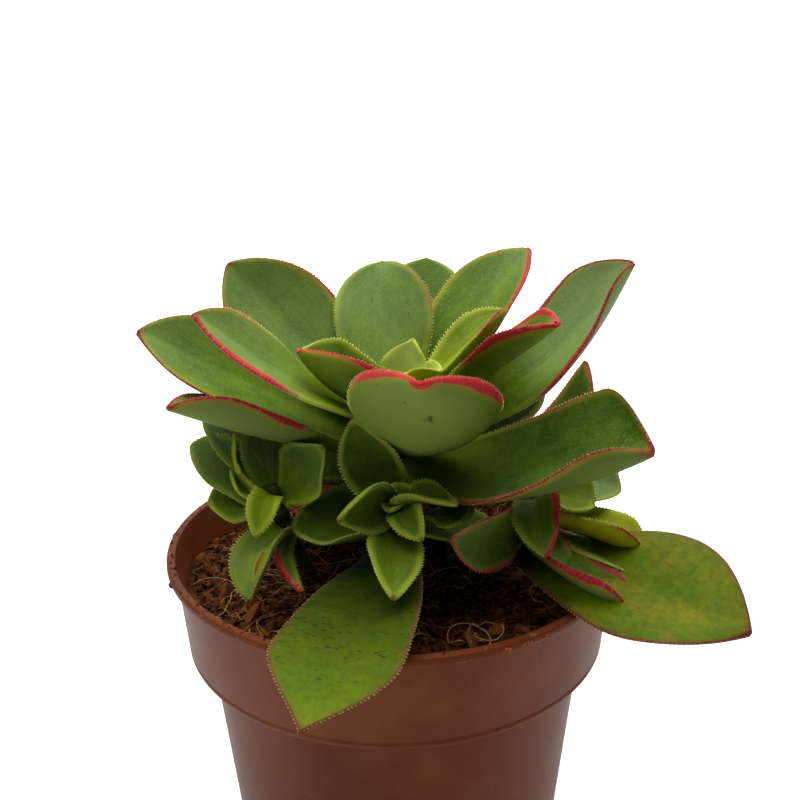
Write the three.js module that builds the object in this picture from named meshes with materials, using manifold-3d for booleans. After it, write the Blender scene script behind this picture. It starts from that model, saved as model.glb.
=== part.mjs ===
// Potted aeonium: a nursery pot filled with soil, a leafy main stem that ends in an open rosette,
// and small offset rosettes on short stems round its foot.
// Millimetres, +Z up, the origin on the middle of the pot's base, the front towards -Y.
import * as THREE from 'three';
import { mergeVertices } from 'three/addons/utils/BufferGeometryUtils.js';
import Module from 'manifold-3d';

const wasm = await Module();
wasm.setup();

// Clearance between neighbouring pieces
const GAP = 0.35;
// Details finer than this are smoothed over
const FINEST = 0.05;
// Points nearer than this are one point
const WELD = 1e-4;

// Nursery pot, 105 mm across its lip
const POT = {
  height: 92, lip: 52.5, mouth: 50.5, lipTall: 1.8, lipRound: 0.3,
  bandTop: 50.6, bandFoot: 49, bandTall: 23.2, bandRound: 1.4,
  shoulder: 44.25, foot: 37.5, wall: 1.3, floor: 1.8,
  drainHoles: 6, drainRadius: 3.2, drainCircle: 24, drainSides: 20, sides: 36,
};
// Share of a rounded corner's radius by which its middle stands in from both sides
const CORNER = 0.3;
// Flecks of flash left on the lip by the mould: azimuth in degrees, width and reach
const FLASH = { azimuths: [176, 203], wide: 2.6, reach: 0.7, tall: 1.2 };

// Soil: its height at the middle, its slope from front to back and its lumps
const SOIL = { height: 84.3, slope: -0.035, lump: 0.7, rings: 5, sides: 24 };
// Waves of the lumps: radians a millimetre in x and y, and where each one starts
const BROAD_WAVE = { x: 0.13, y: 0.11, startX: 1.1, startY: -0.4 };
const FINE_WAVE = { acrossX: 0.31, acrossY: -0.27, start: 0.6, alongX: 0.24, alongY: 0.29 };

// Stems: the path each one follows and its radius
const STEMS = {
  main: { path: [[2, 4, 74], [2, 4, 126.5]], radius: 3.2 },
  front: { path: [[2, 1, 102], [1.6, -9, 101.6], [1.4, -16, 102.5], [1, -21, 110]], radius: 2 },
  left: { path: [[-15.7, -5.1, 76], [-22, -9.5, 93], [-27, -13, 110]], radius: 2 },
  right: { path: [[14.5, -3.2, 76], [25, -6.5, 93], [33, -9, 106]], radius: 2 },
  back: { path: [[-3, 24, 76], [-5, 27.5, 88], [-7, 31, 99]], radius: 1.9 },
};
// Straight lines through the stems' leafy lengths, on which the leaves are rooted
const AXES = {
  main: [[2, 4, 74], [2, 4, 131]],
  foot: [[2, 3, 74], [2, 3, 131]],
  front: [[1.6, -17.5, 100], [1, -21, 110]],
  left: [[-17, -6, 80], [-27, -13, 110]],
  right: [[17, -4, 80], [33, -9, 106]],
  back: [[-4, 26, 83], [-7, 31, 99]],
};
// Sides of the offsets' stems, and steps along each leg of a path
const ROD = { sides: 8, steps: 3 };
// Swellings left on the main stem by fallen leaves
const SCARS = { pitch: 4.2, depth: 0.35, sides: 10, rings: 24 };
// Growing tip of the main stem
const TIP = { foot: 126.8, top: 131, radius: 2.2, shoulder: 0.6, crown: 0.5, sides: 12 };

// A blade is thickest at its middle; crease is in degrees, the losses are fractions of the thickness
// and the others are powers that shape the outline, the thinning, the curl and the rows' spacing
const BLADE = {
  crease: 8, edgeLoss: 0.5, edgePower: 2.2, tipLoss: 0.45, tipPower: 3, shoulder: 1.5, taper: 2.1,
  blunt: 0.78, curl: 1.5, rows: 1.35,
};
// Steps along and across a blade between which its slope is taken, and the place of the tip's slope
const SLOPE = { along: 0.01, across: 0.05, tip: 0.97 };
const THICK = { large: 2.6, small: 2, tiny: 1.5 };
const MESH = { large: [9, 6], small: [5, 4], tiny: [4, 4] };
const TINY_LENGTH = 13;
// Distance of a leaf's root from its axis where it isn't that of the large leaves
const OFF = { bud: 1.2, offset: 1.6 };

// A leaf is rooted off its axis at height at; long runs from the axis to its tip. Angles are in
// degrees: azimuth and rise aim it, roll and twist turn its blade, cup and tipCup curl it upwards.
// arch and sweep bend it up and sideways; neck and widest are fractions of its width and length,
// and point draws its tip out.
const LEAF = { off: 2.5, arch: 0, sweep: 0, roll: 0, twist: 0, neck: 0.4, widest: 0.6,
  point: 1 };

const MAIN_LEAVES = {
  inner_left: { at: 124, azimuth: -141, rise: 35, long: 32.5, wide: 28.5, arch: -3.5, sweep: 1,
    roll: -27, twist: 26, cup: 68, tipCup: 56, neck: 0.6, widest: 0.55, point: 1.2 },
  inner_right: { at: 124, azimuth: 24, rise: 36, long: 33.5, wide: 14.5, arch: 0.5, sweep: -1.5,
    roll: 6, twist: -11, cup: 41, tipCup: 63, neck: 0.3, widest: 0.7 },
  back_centre: { at: 122.5, azimuth: 97, rise: 48, long: 42, wide: 24.5, arch: 2, sweep: 1.5,
    roll: -4, twist: -12, cup: 3, tipCup: 37, neck: 0.45, widest: 0.55, off: 4.2 },
  near_right: { at: 122, azimuth: -29, rise: 35, long: 44.5, wide: 20, arch: -1, sweep: 5.5,
    roll: 4, twist: -8, cup: 39, tipCup: 61, neck: 0.35, widest: 0.7, point: 1.2 },
  back_right: { at: 120, azimuth: 44, rise: 37, long: 57, wide: 23, arch: -0.5, sweep: 1.5,
    roll: 14, twist: -13, cup: 21, tipCup: 42, widest: 0.65 },
  left_mid: { at: 118, azimuth: -152, rise: 36, long: 57.5, wide: 24, arch: -2.5, sweep: 1.5,
    twist: -32, cup: 2, tipCup: 20, neck: 0.35, widest: 0.65 },
  back_left: { at: 116, azimuth: 155, rise: 41, long: 58.5, wide: 27, arch: -1.5, sweep: -2,
    roll: -28, twist: -10, cup: 18, tipCup: 17, neck: 0.35, widest: 0.65 },
  back_tall: { at: 116, azimuth: 80, rise: 36, long: 57, wide: 24, arch: 0.5, cup: 16, widest: 0.65 },
  front: { at: 114, azimuth: -86, rise: 34, long: 53, wide: 36, arch: -6, sweep: 1.5,
    roll: -5, twist: -8, cup: 10, tipCup: 73, neck: 0.25, widest: 0.65 },
  right_back: { at: 114, azimuth: 5, rise: 38.5, long: 67, wide: 27.5, arch: -7, sweep: 2,
    roll: 41, twist: -41.5, cup: 2, tipCup: 52.5, neck: 0.2, widest: 0.8 },
  left_outer: { at: 112, azimuth: -175, rise: 29, long: 65.5, wide: 24, arch: -1.5, sweep: -2.5,
    roll: -33, twist: 3, cup: 14, tipCup: 29, neck: 0.25, widest: 0.7 },
  back_mid_left: { at: 112.5, azimuth: 112, rise: 21, long: 55, wide: 26, arch: -0.5, sweep: 1.5,
    roll: 12, twist: 5, cup: 21, neck: 0.45, widest: 0.55 },
  back_mid_right: { at: 111, azimuth: 42, rise: 12, long: 49, wide: 26, sweep: 1,
    roll: 32, cup: 18, tipCup: 24, neck: 0.35, widest: 0.65 },
  left_low: { at: 110, azimuth: -157, rise: 22, long: 56.5, wide: 18.5, arch: -1.5, sweep: -2.5,
    roll: 11, twist: 5, cup: 33, tipCup: 71, neck: 0.25, widest: 0.75 },
  right_low: { at: 110, azimuth: -40, rise: 15, long: 64.5, wide: 34.5, arch: -3.5, sweep: -3,
    roll: 37, twist: -21, cup: 2, tipCup: 72, neck: 0.3, widest: 0.85 },
  right_behind: { at: 109, azimuth: 23.5, rise: 20.5, long: 53.5, wide: 18.5, arch: -12.5, sweep: -8.5,
    roll: -1.5, twist: 18, cup: 11.5, tipCup: 10.5, widest: 0.5 },
  back_low_left: { at: 105.5, azimuth: 150, rise: 4, long: 44, wide: 28, arch: 1.5, roll: -35, cup: 22 },
  back_low_right: { at: 107.5, azimuth: 60, rise: 5, long: 58, wide: 25, arch: 2, cup: 22 },
  back_low_mid: { at: 106, azimuth: 93, rise: 4, long: 60, wide: 26, arch: 3, cup: 20 },
};

// Old leaves at the foot of the plant that lie out over the pot's lip
const HANGING_LEAVES = {
  front: { axis: 'foot', at: 92.5, azimuth: -104.8, rise: -3.5, long: 74.5, wide: 27, arch: 4, sweep: 3,
    roll: 13, twist: -13, cup: 2, tipCup: 16, neck: 0.2, widest: 0.77, point: 1.8 },
  right: { axis: 'right', at: 93, azimuth: -46.4, rise: 2, long: 60.5, wide: 31, arch: 1, sweep: -1,
    roll: 13.5, twist: 9.5, cup: 2, tipCup: 14.5, neck: 0.3, widest: 0.64, point: 1.15 },
};

const BUD_LEAVES = [
  { at: 125.5, azimuth: 60, rise: 66, long: 14, wide: 13, cup: 25, tipCup: 32, neck: 0.5, widest: 0.4,
    point: 1.5 },
  { at: 125.5, azimuth: -28, rise: 36, long: 12.5, wide: 10, arch: 1, cup: 58, neck: 0.5 },
  { at: 126, azimuth: 200, rise: 70, long: 7, wide: 6, cup: 40 },
  { at: 126, azimuth: 320, rise: 72, long: 7, wide: 6, cup: 40 },
];

const OFFSET_LEAVES = {
  front: [
    { at: 104.5, azimuth: 160, rise: 69, long: 25.5, wide: 15, arch: 1, roll: -62, twist: -52,
      cup: 14, tipCup: 32 },
    { at: 106.5, azimuth: -134, rise: 16, long: 18.5, wide: 12, arch: 3, sweep: 1, roll: -68, twist: -26,
      cup: 32, tipCup: 60 },
    { at: 104.5, azimuth: -94, rise: -9, long: 26.5, wide: 12, arch: 1.5, sweep: -0.5, roll: -9, twist: -12,
      cup: 14, tipCup: 36, widest: 0.55 },
    { at: 107.5, azimuth: -74, rise: 1, long: 15.5, wide: 8, arch: 2.5, sweep: -1, roll: 18, twist: 22,
      cup: 31, tipCup: 40 },
    { at: 106, azimuth: -33, rise: 25, long: 15.5, wide: 11, arch: 4, sweep: -3, roll: 9, twist: -15,
      cup: 61, tipCup: 8, neck: 0.5, widest: 0.5 },
    { at: 104.5, azimuth: -18, rise: 17, long: 16.5, wide: 14, arch: -1.5, sweep: 1.5, roll: -31, twist: 50,
      cup: 31, tipCup: 2, neck: 0.45, widest: 0.65 },
    { at: 101.5, azimuth: 8, rise: -20, long: 24.5, wide: 17, arch: 2, roll: 3, twist: 15,
      cup: 22, tipCup: 15, neck: 0.35, widest: 0.65 },
    { at: 103, azimuth: 178, rise: 2, long: 23.5, wide: 21.5, arch: -1, roll: -5, twist: -21,
      cup: 58, tipCup: 11, widest: 0.4 },
    { at: 106.5, azimuth: 95, rise: 70, long: 5, wide: 8.5, arch: 0.5, cup: 35, off: -3 },
    { at: 109, azimuth: -155, rise: 30, long: 6, wide: 6, arch: 0.5, cup: 50 },
    { at: 108.5, azimuth: -105, rise: 22, long: 9, wide: 6, arch: 0.5, cup: 40 },
    { at: 109, azimuth: -41, rise: 28, long: 6, wide: 6, arch: 0.5, cup: 50 },
  ],
  left: [
    { at: 101, azimuth: 167, rise: 41, long: 27.5, wide: 13.5, arch: 1.5, roll: -21, twist: -23,
      cup: 18, tipCup: 27, widest: 0.65 },
    { at: 104, azimuth: 142, rise: 45, long: 29.5, wide: 14, arch: 0.5, sweep: -0.5, twist: -16,
      cup: 23, tipCup: 27, neck: 0.35, widest: 0.65 },
    { at: 107, azimuth: 137.5, rise: 45.5, long: 17.5, wide: 15.5, arch: -5.5, sweep: 0.5, roll: 21.5,
      twist: 3.5, cup: 55, tipCup: 43.5, widest: 0.5, off: 0 },
    { at: 106, azimuth: 107, rise: 47, long: 20, wide: 13, arch: -0.5, sweep: 1, roll: 9, twist: 11,
      cup: 19, tipCup: 31 },
    { at: 107, azimuth: 9, rise: 50, long: 16.5, wide: 17.5, arch: -1, roll: 38, twist: -9,
      cup: 8, tipCup: 46, neck: 0.3, widest: 0.55 },
    { at: 103, azimuth: -173, rise: 16, long: 16.5, wide: 13, arch: 0.5, sweep: -1, roll: -17, twist: -19,
      cup: 14, neck: 0.35 },
    { at: 107, azimuth: 169, rise: 40, long: 12, wide: 7, arch: -2, sweep: 1, twist: 7,
      cup: 28, tipCup: 20, neck: 0.45 },
    { at: 106, azimuth: -104, rise: -10, long: 13, wide: 7.5, arch: 5, sweep: 0.5, roll: -13.5, twist: -8.5,
      cup: 42.5, tipCup: 34 },
    { at: 99, azimuth: -106, rise: -16, long: 23.5, wide: 12, arch: 4, sweep: -1, roll: -3, twist: 25,
      cup: 52, tipCup: 56, neck: 0.45 },
    { at: 98, azimuth: -79, rise: -12, long: 20.5, wide: 5.5, arch: -0.5, sweep: -3, roll: -18, twist: -27,
      cup: 52, neck: 0.55, widest: 0.55 },
  ],
  right: [
    { at: 104, azimuth: -26, rise: 9, long: 13.5, wide: 15.5, arch: 1.5, sweep: -1, roll: 20, twist: 11,
      cup: 49, widest: 0.65 },
    { at: 102, azimuth: 3, rise: 11, long: 21, wide: 15, arch: 3, sweep: 1, roll: 15, twist: 22,
      cup: 21, tipCup: 38, widest: 0.65 },
    { at: 101, azimuth: -31, rise: -9, long: 27.5, wide: 16, arch: 1, sweep: -0.5, roll: -7, twist: -6,
      cup: 59, tipCup: 77, widest: 0.75 },
    { at: 103, azimuth: -91, rise: -6, long: 21.5, wide: 12, arch: 5.5, sweep: -0.5, roll: 20, twist: 7,
      cup: 34, tipCup: 32 },
    { at: 100, azimuth: -65, rise: -13, long: 20, wide: 8.5, arch: 1, sweep: -2, roll: 6, twist: -4,
      cup: 19 },
    { at: 97.5, azimuth: -58, rise: -8, long: 36, wide: 14, arch: 1, sweep: -3.5, roll: 4, twist: -26,
      cup: 42, tipCup: 82, neck: 0.35, widest: 0.8 },
    { at: 98, azimuth: -42, rise: -5, long: 32, wide: 9.5, arch: 0.5, sweep: -0.5, roll: 3, twist: -8,
      cup: 12, tipCup: 28, neck: 0.35, widest: 0.75 },
    { at: 97, azimuth: -127, rise: 17, long: 27.5, wide: 15, arch: 1, sweep: 4, roll: -60, twist: -50,
      cup: 20, tipCup: 50, neck: 0.3, widest: 0.75 },
    { at: 96, azimuth: -97, rise: -2, long: 11, wide: 8, sweep: -1, cup: 30 },
  ],
};
// Offset at the back, its leaves set by the golden angle from the lowest up
const BACK_OFFSET = { leaves: 7, firstAt: 92, stepAt: 0.8, firstAzimuth: 60, turn: 137.5, firstRise: 4,
  stepRise: 10, firstLong: 25, stepLong: -1.4, wide: 12.5, cup: 28 };

const COLOURS = { pot: '#7d4c39', soil: '#4a2f1d', stem: '#6f6243', leaf: '#56803c', hanging: '#7c8f33',
  offset: '#6f9a4a', bud: '#9dbb4e' };

const rad = THREE.MathUtils.degToRad;
const vector = (point) => new THREE.Vector3(...point);
const ring = (azimuth) => new THREE.Vector3(Math.cos(azimuth), Math.sin(azimuth), 0);

// Closed solid from a list of points and a list of triangles
function solid(points, triangles) {
  return new wasm.Manifold(new wasm.Mesh({
    numProp: 3,
    vertProperties: new Float32Array(points.flatMap((point) => point.toArray())),
    triVerts: new Uint32Array(triangles.flat()),
  }));
}

// Closed solid from a geometry, its seams welded and its empty triangles dropped
function weld(geometry) {
  geometry.deleteAttribute('normal');
  geometry.deleteAttribute('uv');
  const merged = mergeVertices(geometry, WELD);
  const at = merged.getAttribute('position');
  const points = Array.from({ length: at.count }, (_, i) => new THREE.Vector3().fromBufferAttribute(at, i));
  const index = merged.getIndex().array;
  const triangles = [];
  for (let i = 0; i < index.length; i += 3) {
    const [a, b, c] = index.slice(i, i + 3);
    if (a !== b && b !== c && c !== a) triangles.push([a, b, c]);
  }
  return solid(points, triangles);
}

// Solid turned about the +Z axis from a profile of [radius, height] points
function turned(profile, sides) {
  const geometry = new THREE.LatheGeometry(profile.map(([r, z]) => new THREE.Vector2(r, z)), sides);
  geometry.rotateX(Math.PI / 2);
  return weld(geometry);
}

// Round rod along a smooth path, grown by extra on every side
function rod({ path, radius }, extra = 0) {
  const points = path.map(vector);
  const last = points.length - 1;
  const start = points[0].clone().sub(points[1]).setLength(extra).add(points[0]);
  const end = points[last].clone().sub(points[last - 1]).setLength(extra).add(points[last]);
  const curve = new THREE.CatmullRomCurve3([start, ...points.slice(1, last), end]);
  const section = new THREE.Shape();
  section.absarc(0, 0, radius + extra, 0, 2 * Math.PI);
  return weld(new THREE.ExtrudeGeometry(section, {
    steps: ROD.steps * last, curveSegments: ROD.sides / 2, bevelEnabled: false, extrudePath: curve,
  }));
}

function makePot() {
  const { height, lip, mouth, lipTall, lipRound, bandTop, bandFoot, bandTall, bandRound } = POT;
  const { shoulder, foot, wall, floor, drainHoles, drainRadius, drainCircle, drainSides, sides } = POT;
  const ledge = height - bandTall;
  const under = height - lipTall;
  const profile = [
    [0, 0], [foot, 0], [shoulder, ledge], [bandFoot - bandRound, ledge],
    [bandFoot - CORNER * bandRound, ledge + CORNER * bandRound], [bandFoot, ledge + bandRound],
    [bandTop, under], [lip - lipRound, under], [lip, under + lipRound], [lip, height - lipRound],
    [lip - lipRound, height], [mouth + lipRound, height], [mouth, height - lipRound],
    [bandTop - wall, under], [bandFoot - wall, ledge + wall], [shoulder - wall, ledge + wall],
    [foot - wall, floor], [0, floor],
  ];
  let pot = turned(profile, sides);
  for (const azimuth of FLASH.azimuths) {
    const fleck = new THREE.BoxGeometry(2 * FLASH.reach, FLASH.wide, FLASH.tall);
    fleck.translate(lip, 0, height - FLASH.tall);
    fleck.rotateZ(rad(azimuth));
    pot = pot.add(weld(fleck));
  }
  for (let i = 0; i < drainHoles; i += 1) {
    const drill = new THREE.CylinderGeometry(drainRadius, drainRadius, 4 * floor, drainSides);
    drill.rotateX(Math.PI / 2);
    drill.translate(drainCircle, 0, 0);
    drill.rotateZ((2 * Math.PI * i) / drainHoles);
    pot = pot.subtract(weld(drill));
  }
  return pot;
}

// Height of the soil over the point x, y
function soilHeight(x, y) {
  const { x: broadX, y: broadY, startX, startY } = BROAD_WAVE;
  const { acrossX, acrossY, start, alongX, alongY } = FINE_WAVE;
  const broad = Math.sin(broadX * x + startX) * Math.cos(broadY * y + startY);
  const fine = Math.sin(acrossX * x + acrossY * y + start) * Math.cos(alongX * x + alongY * y);
  return SOIL.height + SOIL.slope * y + SOIL.lump * (broad + fine);
}

function makeSoil() {
  const { height, bandTall, bandTop, bandFoot, shoulder, foot, wall, floor } = POT;
  const ledge = height - bandTall + wall;
  const inner = GAP + wall;
  const edge = bandFoot - inner + ((bandTop - bandFoot) * (SOIL.height - ledge)) / bandTall;
  const profile = [
    [0, floor + GAP], [foot - inner, floor + GAP], [shoulder - inner, ledge - GAP],
    [shoulder - inner, ledge + GAP], [bandFoot - inner, ledge + GAP], [edge, SOIL.height],
  ];
  for (let i = SOIL.rings - 1; i >= 0; i -= 1) profile.push([(edge * i) / SOIL.rings, SOIL.height]);
  const geometry = new THREE.LatheGeometry(profile.map(([r, z]) => new THREE.Vector2(r, z)), SOIL.sides);
  geometry.rotateX(Math.PI / 2);
  const at = geometry.getAttribute('position');
  for (let i = 0; i < at.count; i += 1) {
    if (at.getZ(i) > SOIL.height - GAP) at.setZ(i, soilHeight(at.getX(i), at.getY(i)));
  }
  return weld(geometry);
}

// Main stem, ringed with the scars of fallen leaves and grown by extra
function makeMainStem(extra = 0) {
  const { path: [[x, y, low], [, , high]], radius } = STEMS.main;
  const profile = [[0, low - extra]];
  for (let i = 0; i <= SCARS.rings; i += 1) {
    const z = low + ((high - low) * i) / SCARS.rings;
    const swell = extra > 0 ? 0 : SCARS.depth * (Math.cos((2 * Math.PI * z) / SCARS.pitch) - 1);
    profile.push([radius + extra + swell, z + (i === 0 ? -extra : 0) + (i === SCARS.rings ? extra : 0)]);
  }
  profile.push([0, high + extra]);
  return turned(profile, SCARS.sides).translate([x, y, 0]);
}

// Leaf with its root, tip and the point that bends its midrib
function makeLeaf(axis, spec) {
  const leaf = { ...LEAF, tipCup: spec.cup, ...spec };
  const [from, to] = AXES[axis].map(vector);
  const azimuth = rad(leaf.azimuth);
  const rise = rad(leaf.rise);
  const aim = ring(azimuth).multiplyScalar(Math.cos(rise)).setZ(Math.sin(rise));
  leaf.root = from.clone().lerp(to, (leaf.at - from.z) / (to.z - from.z));
  leaf.root.addScaledVector(ring(azimuth), leaf.off);
  leaf.tip = leaf.root.clone().addScaledVector(aim, leaf.long - leaf.off);
  leaf.side = new THREE.Vector3(0, 0, 1).cross(aim).normalize();
  leaf.bend = leaf.root.clone().lerp(leaf.tip, 0.5);
  leaf.bend.addScaledVector(aim.clone().cross(leaf.side), 2 * leaf.arch);
  leaf.bend.addScaledVector(leaf.side, 2 * leaf.sweep);
  return leaf;
}

// Half the leaf's width at s, from a narrow neck to a blunt tip
function halfWidth({ wide, neck, widest, point }, s) {
  const swell = neck + (1 - neck) * Math.sin((Math.PI / 2) * Math.min(s / widest, 1)) ** BLADE.shoulder;
  const close = Math.max(0, (s - widest) / (1 - widest)) ** BLADE.taper;
  return (wide / 2) * swell * Math.max(0, 1 - close) ** (BLADE.blunt * point);
}

// Point of the middle surface: s runs from root to tip, v from margin to margin
function middle(leaf, s, v, extra = 0) {
  const point = leaf.root.clone().multiplyScalar((1 - s) ** 2);
  point.addScaledVector(leaf.bend, 2 * s * (1 - s)).addScaledVector(leaf.tip, s * s);
  const along = leaf.bend.clone().sub(leaf.root).multiplyScalar(1 - s);
  along.addScaledVector(leaf.tip.clone().sub(leaf.bend), s).normalize();
  const side = leaf.side.clone().addScaledVector(along, -along.dot(leaf.side)).normalize();
  const turn = rad(leaf.roll + leaf.twist * s);
  const across = side.clone().applyAxisAngle(along, turn);
  const up = along.clone().cross(across);
  const half = halfWidth(leaf, s) + extra;
  const cup = rad(leaf.cup + (leaf.tipCup - leaf.cup) * s ** BLADE.curl);
  const crease = rad(BLADE.crease);
  const bend = crease + cup * Math.abs(v);
  point.addScaledVector(across, (Math.sign(v) * half * (Math.sin(bend) - Math.sin(crease))) / cup);
  return point.addScaledVector(up, (half * (Math.cos(crease) - Math.cos(bend))) / cup);
}

function normalAt(leaf, s, v) {
  const { along, across } = SLOPE;
  const ds = middle(leaf, Math.min(s + along, 1), v).sub(middle(leaf, Math.max(s - along, 0), v));
  const dv = middle(leaf, s, Math.min(v + across, 1)).sub(middle(leaf, s, Math.max(v - across, -1)));
  return ds.cross(dv).normalize();
}

// Closed blade, both faces split into triangles alike, grown by extra on every side
function blade(leaf, size, extra = 0) {
  const [rows, cols] = MESH[size];
  const half = (s, v) => {
    const edge = 1 - BLADE.edgeLoss * Math.abs(v) ** BLADE.edgePower;
    return 0.5 * THICK[size] * edge * (1 - BLADE.tipLoss * s ** BLADE.tipPower);
  };
  const points = [];
  for (let i = 0; i < rows; i += 1) {
    const s = 1 - (1 - i / rows) ** BLADE.rows;
    for (let j = 0; j <= cols; j += 1) {
      const v = (2 * j) / cols - 1;
      const normal = normalAt(leaf, s, v);
      const centre = middle(leaf, s, v, extra);
      if (i === 0) centre.addScaledVector(leaf.bend.clone().sub(leaf.root).normalize(), -extra);
      points.push(centre.clone().addScaledVector(normal, half(s, v) + extra));
      points.push(centre.addScaledVector(normal, -half(s, v) - extra));
    }
  }
  const normal = normalAt(leaf, SLOPE.tip, 0);
  const end = leaf.tip.clone().sub(leaf.bend).setLength(extra).add(leaf.tip);
  const tip = points.length;
  points.push(end.clone().addScaledVector(normal, half(1, 0) + extra));
  points.push(end.addScaledVector(normal, -half(1, 0) - extra));
  const top = (i, j) => (i < rows ? 2 * (i * (cols + 1) + j) : tip);
  const triangles = [];
  for (let j = 0; j < cols; j += 1) {
    for (let i = 0; i < rows; i += 1) {
      const a = top(i, j);
      const b = top(i + 1, j);
      const c = top(i + 1, j + 1);
      const d = top(i, j + 1);
      if (b !== c) triangles.push([a, b, c], [a + 1, c + 1, b + 1]);
      triangles.push([a, c, d], [a + 1, d + 1, c + 1]);
    }
    const [a, b] = [top(0, j), top(0, j + 1)];
    triangles.push([a, b, b + 1], [a, b + 1, a + 1]);
  }
  for (let i = 0; i < rows; i += 1) {
    const [a, b] = [top(i, cols), top(i + 1, cols)];
    triangles.push([a, b, b + 1], [a, b + 1, a + 1]);
    const [c, d] = [top(i, 0), top(i + 1, 0)];
    triangles.push([c, d + 1, d], [c, c + 1, d + 1]);
  }
  return solid(points, triangles);
}

const plant = new THREE.Group();
plant.name = 'potted_aeonium';
// Pieces placed so far, each grown by the clearance
const neighbours = [];

function touching(a, b) {
  return [0, 1, 2].every((k) => a.min[k] <= b.max[k] && b.min[k] <= a.max[k]);
}

// Largest part of a solid once the grown neighbours are cut away from it
function clearOf(body) {
  let rest = body;
  for (const other of neighbours) {
    if (touching(rest.boundingBox(), other.boundingBox())) rest = rest.subtract(other);
  }
  const parts = rest.decompose();
  return parts.reduce((best, part) => (part.volume() > best.volume() ? part : best));
}

// Adds a piece as a named mesh that stands at its origin, turned by azimuth degrees
function place(name, body, colour, grown, origin = [0, 0, 0], azimuth = 0) {
  const own = clearOf(body).simplify(FINEST);
  const [x, y, z] = origin;
  const mesh = own.translate([-x, -y, -z]).rotate([0, 0, -azimuth]).getMesh();
  const geometry = new THREE.BufferGeometry();
  geometry.setAttribute('position', new THREE.BufferAttribute(mesh.vertProperties, 3));
  geometry.setIndex(new THREE.BufferAttribute(mesh.triVerts, 1));
  geometry.computeVertexNormals();
  const node = new THREE.Mesh(geometry, new THREE.MeshStandardMaterial({ color: colour }));
  node.name = name;
  node.position.set(x, y, z);
  node.rotation.z = rad(azimuth);
  plant.add(node);
  neighbours.push(grown);
}

function placeLeaf(name, leaf, colour) {
  const body = blade(leaf, 'large');
  place(name, body, colour, blade(leaf, 'large', GAP), leaf.root.toArray(), leaf.azimuth);
}

// Core and leaves fused, the leaves' roots sunk in the core
function fused(core, leaves, extra = 0) {
  return leaves.reduce((body, leaf) => {
    const size = leaf.long < TINY_LENGTH ? 'tiny' : 'small';
    return body.add(blade(leaf, size, extra));
  }, core);
}

// Ring of clear space kept round the pot's rim
function makeRimGuard() {
  const { height, lip, mouth, lipTall, bandTop, bandFoot, bandTall, wall, sides } = POT;
  const low = height - bandTall + wall;
  const under = height - lipTall - GAP;
  const profile = [
    [bandFoot - wall - GAP, low], [bandFoot + GAP, low], [bandTop + GAP, under], [lip + GAP, under],
    [lip + GAP, height + GAP], [mouth - GAP, height + GAP], [bandTop - wall - GAP, under],
  ];
  return turned([...profile, profile[0]], sides);
}

function makeTip(extra = 0) {
  const { foot, top, radius, shoulder, crown, sides } = TIP;
  const [x, y] = STEMS.main.path[0];
  const profile = [
    [0, foot - extra], [radius + extra, foot - extra], [radius + extra, (foot + top) / 2],
    [shoulder * radius + extra, top - crown + extra], [0, top + extra],
  ];
  return turned(profile, sides).translate([x, y, 0]);
}

function backOffsetLeaves() {
  const rule = BACK_OFFSET;
  return Array.from({ length: rule.leaves }, (_, i) => ({
    at: rule.firstAt + rule.stepAt * i,
    azimuth: rule.firstAzimuth + rule.turn * i,
    rise: rule.firstRise + rule.stepRise * i,
    long: rule.firstLong + rule.stepLong * i,
    wide: rule.wide,
    cup: rule.cup,
  }));
}

place('pot', makePot(), COLOURS.pot, makeRimGuard());
place('main_stem', makeMainStem(), COLOURS.stem, makeMainStem(GAP), STEMS.main.path[0]);

const budLeaves = BUD_LEAVES.map((spec) => makeLeaf('main', { off: OFF.bud, ...spec }));
const [mainX, mainY] = STEMS.main.path[0];
place('bud', fused(makeTip(), budLeaves), COLOURS.bud, fused(makeTip(GAP), budLeaves, GAP),
  [mainX, mainY, TIP.foot]);

for (const [name, spec] of Object.entries(MAIN_LEAVES)) {
  placeLeaf(`leaf_${name}`, makeLeaf('main', spec), COLOURS.leaf);
}

for (const [name, specs] of Object.entries({ ...OFFSET_LEAVES, back: backOffsetLeaves() })) {
  const leaves = specs.map((spec) => makeLeaf(name, { off: OFF.offset, ...spec }));
  const stem = STEMS[name];
  place(`offset_${name}`, fused(rod(stem), leaves), COLOURS.offset, fused(rod(stem, GAP), leaves, GAP),
    stem.path[0]);
}

for (const [name, { axis, ...spec }] of Object.entries(HANGING_LEAVES)) {
  placeLeaf(`leaf_hanging_${name}`, makeLeaf(axis, spec), COLOURS.hanging);
}

const soil = makeSoil();
place('soil', soil, COLOURS.soil, soil, [0, 0, POT.floor + GAP]);

export default plant;
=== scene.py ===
"""Potted aeonium: fleshy toothed leaves, small offsets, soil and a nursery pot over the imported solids."""

import math
import random
from types import SimpleNamespace as Sizes

import bpy
import numpy as np
from mathutils import Matrix, Vector, noise


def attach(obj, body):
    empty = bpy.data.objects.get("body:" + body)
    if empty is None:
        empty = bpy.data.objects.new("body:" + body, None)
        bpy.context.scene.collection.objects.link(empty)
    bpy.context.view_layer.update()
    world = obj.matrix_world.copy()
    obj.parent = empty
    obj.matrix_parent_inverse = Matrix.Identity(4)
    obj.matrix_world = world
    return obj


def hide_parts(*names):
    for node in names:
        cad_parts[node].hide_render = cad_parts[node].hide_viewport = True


bl_info = {
    "name": "Potted aeonium",
    "version": (1, 0, 0),
    "blender": (4, 5, 0),
    "location": "View3D > Sidebar > Aeonium",
    "description": "Builds a potted aeonium piece by piece over its packed solids",
    "category": "Add Mesh",
}

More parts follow.
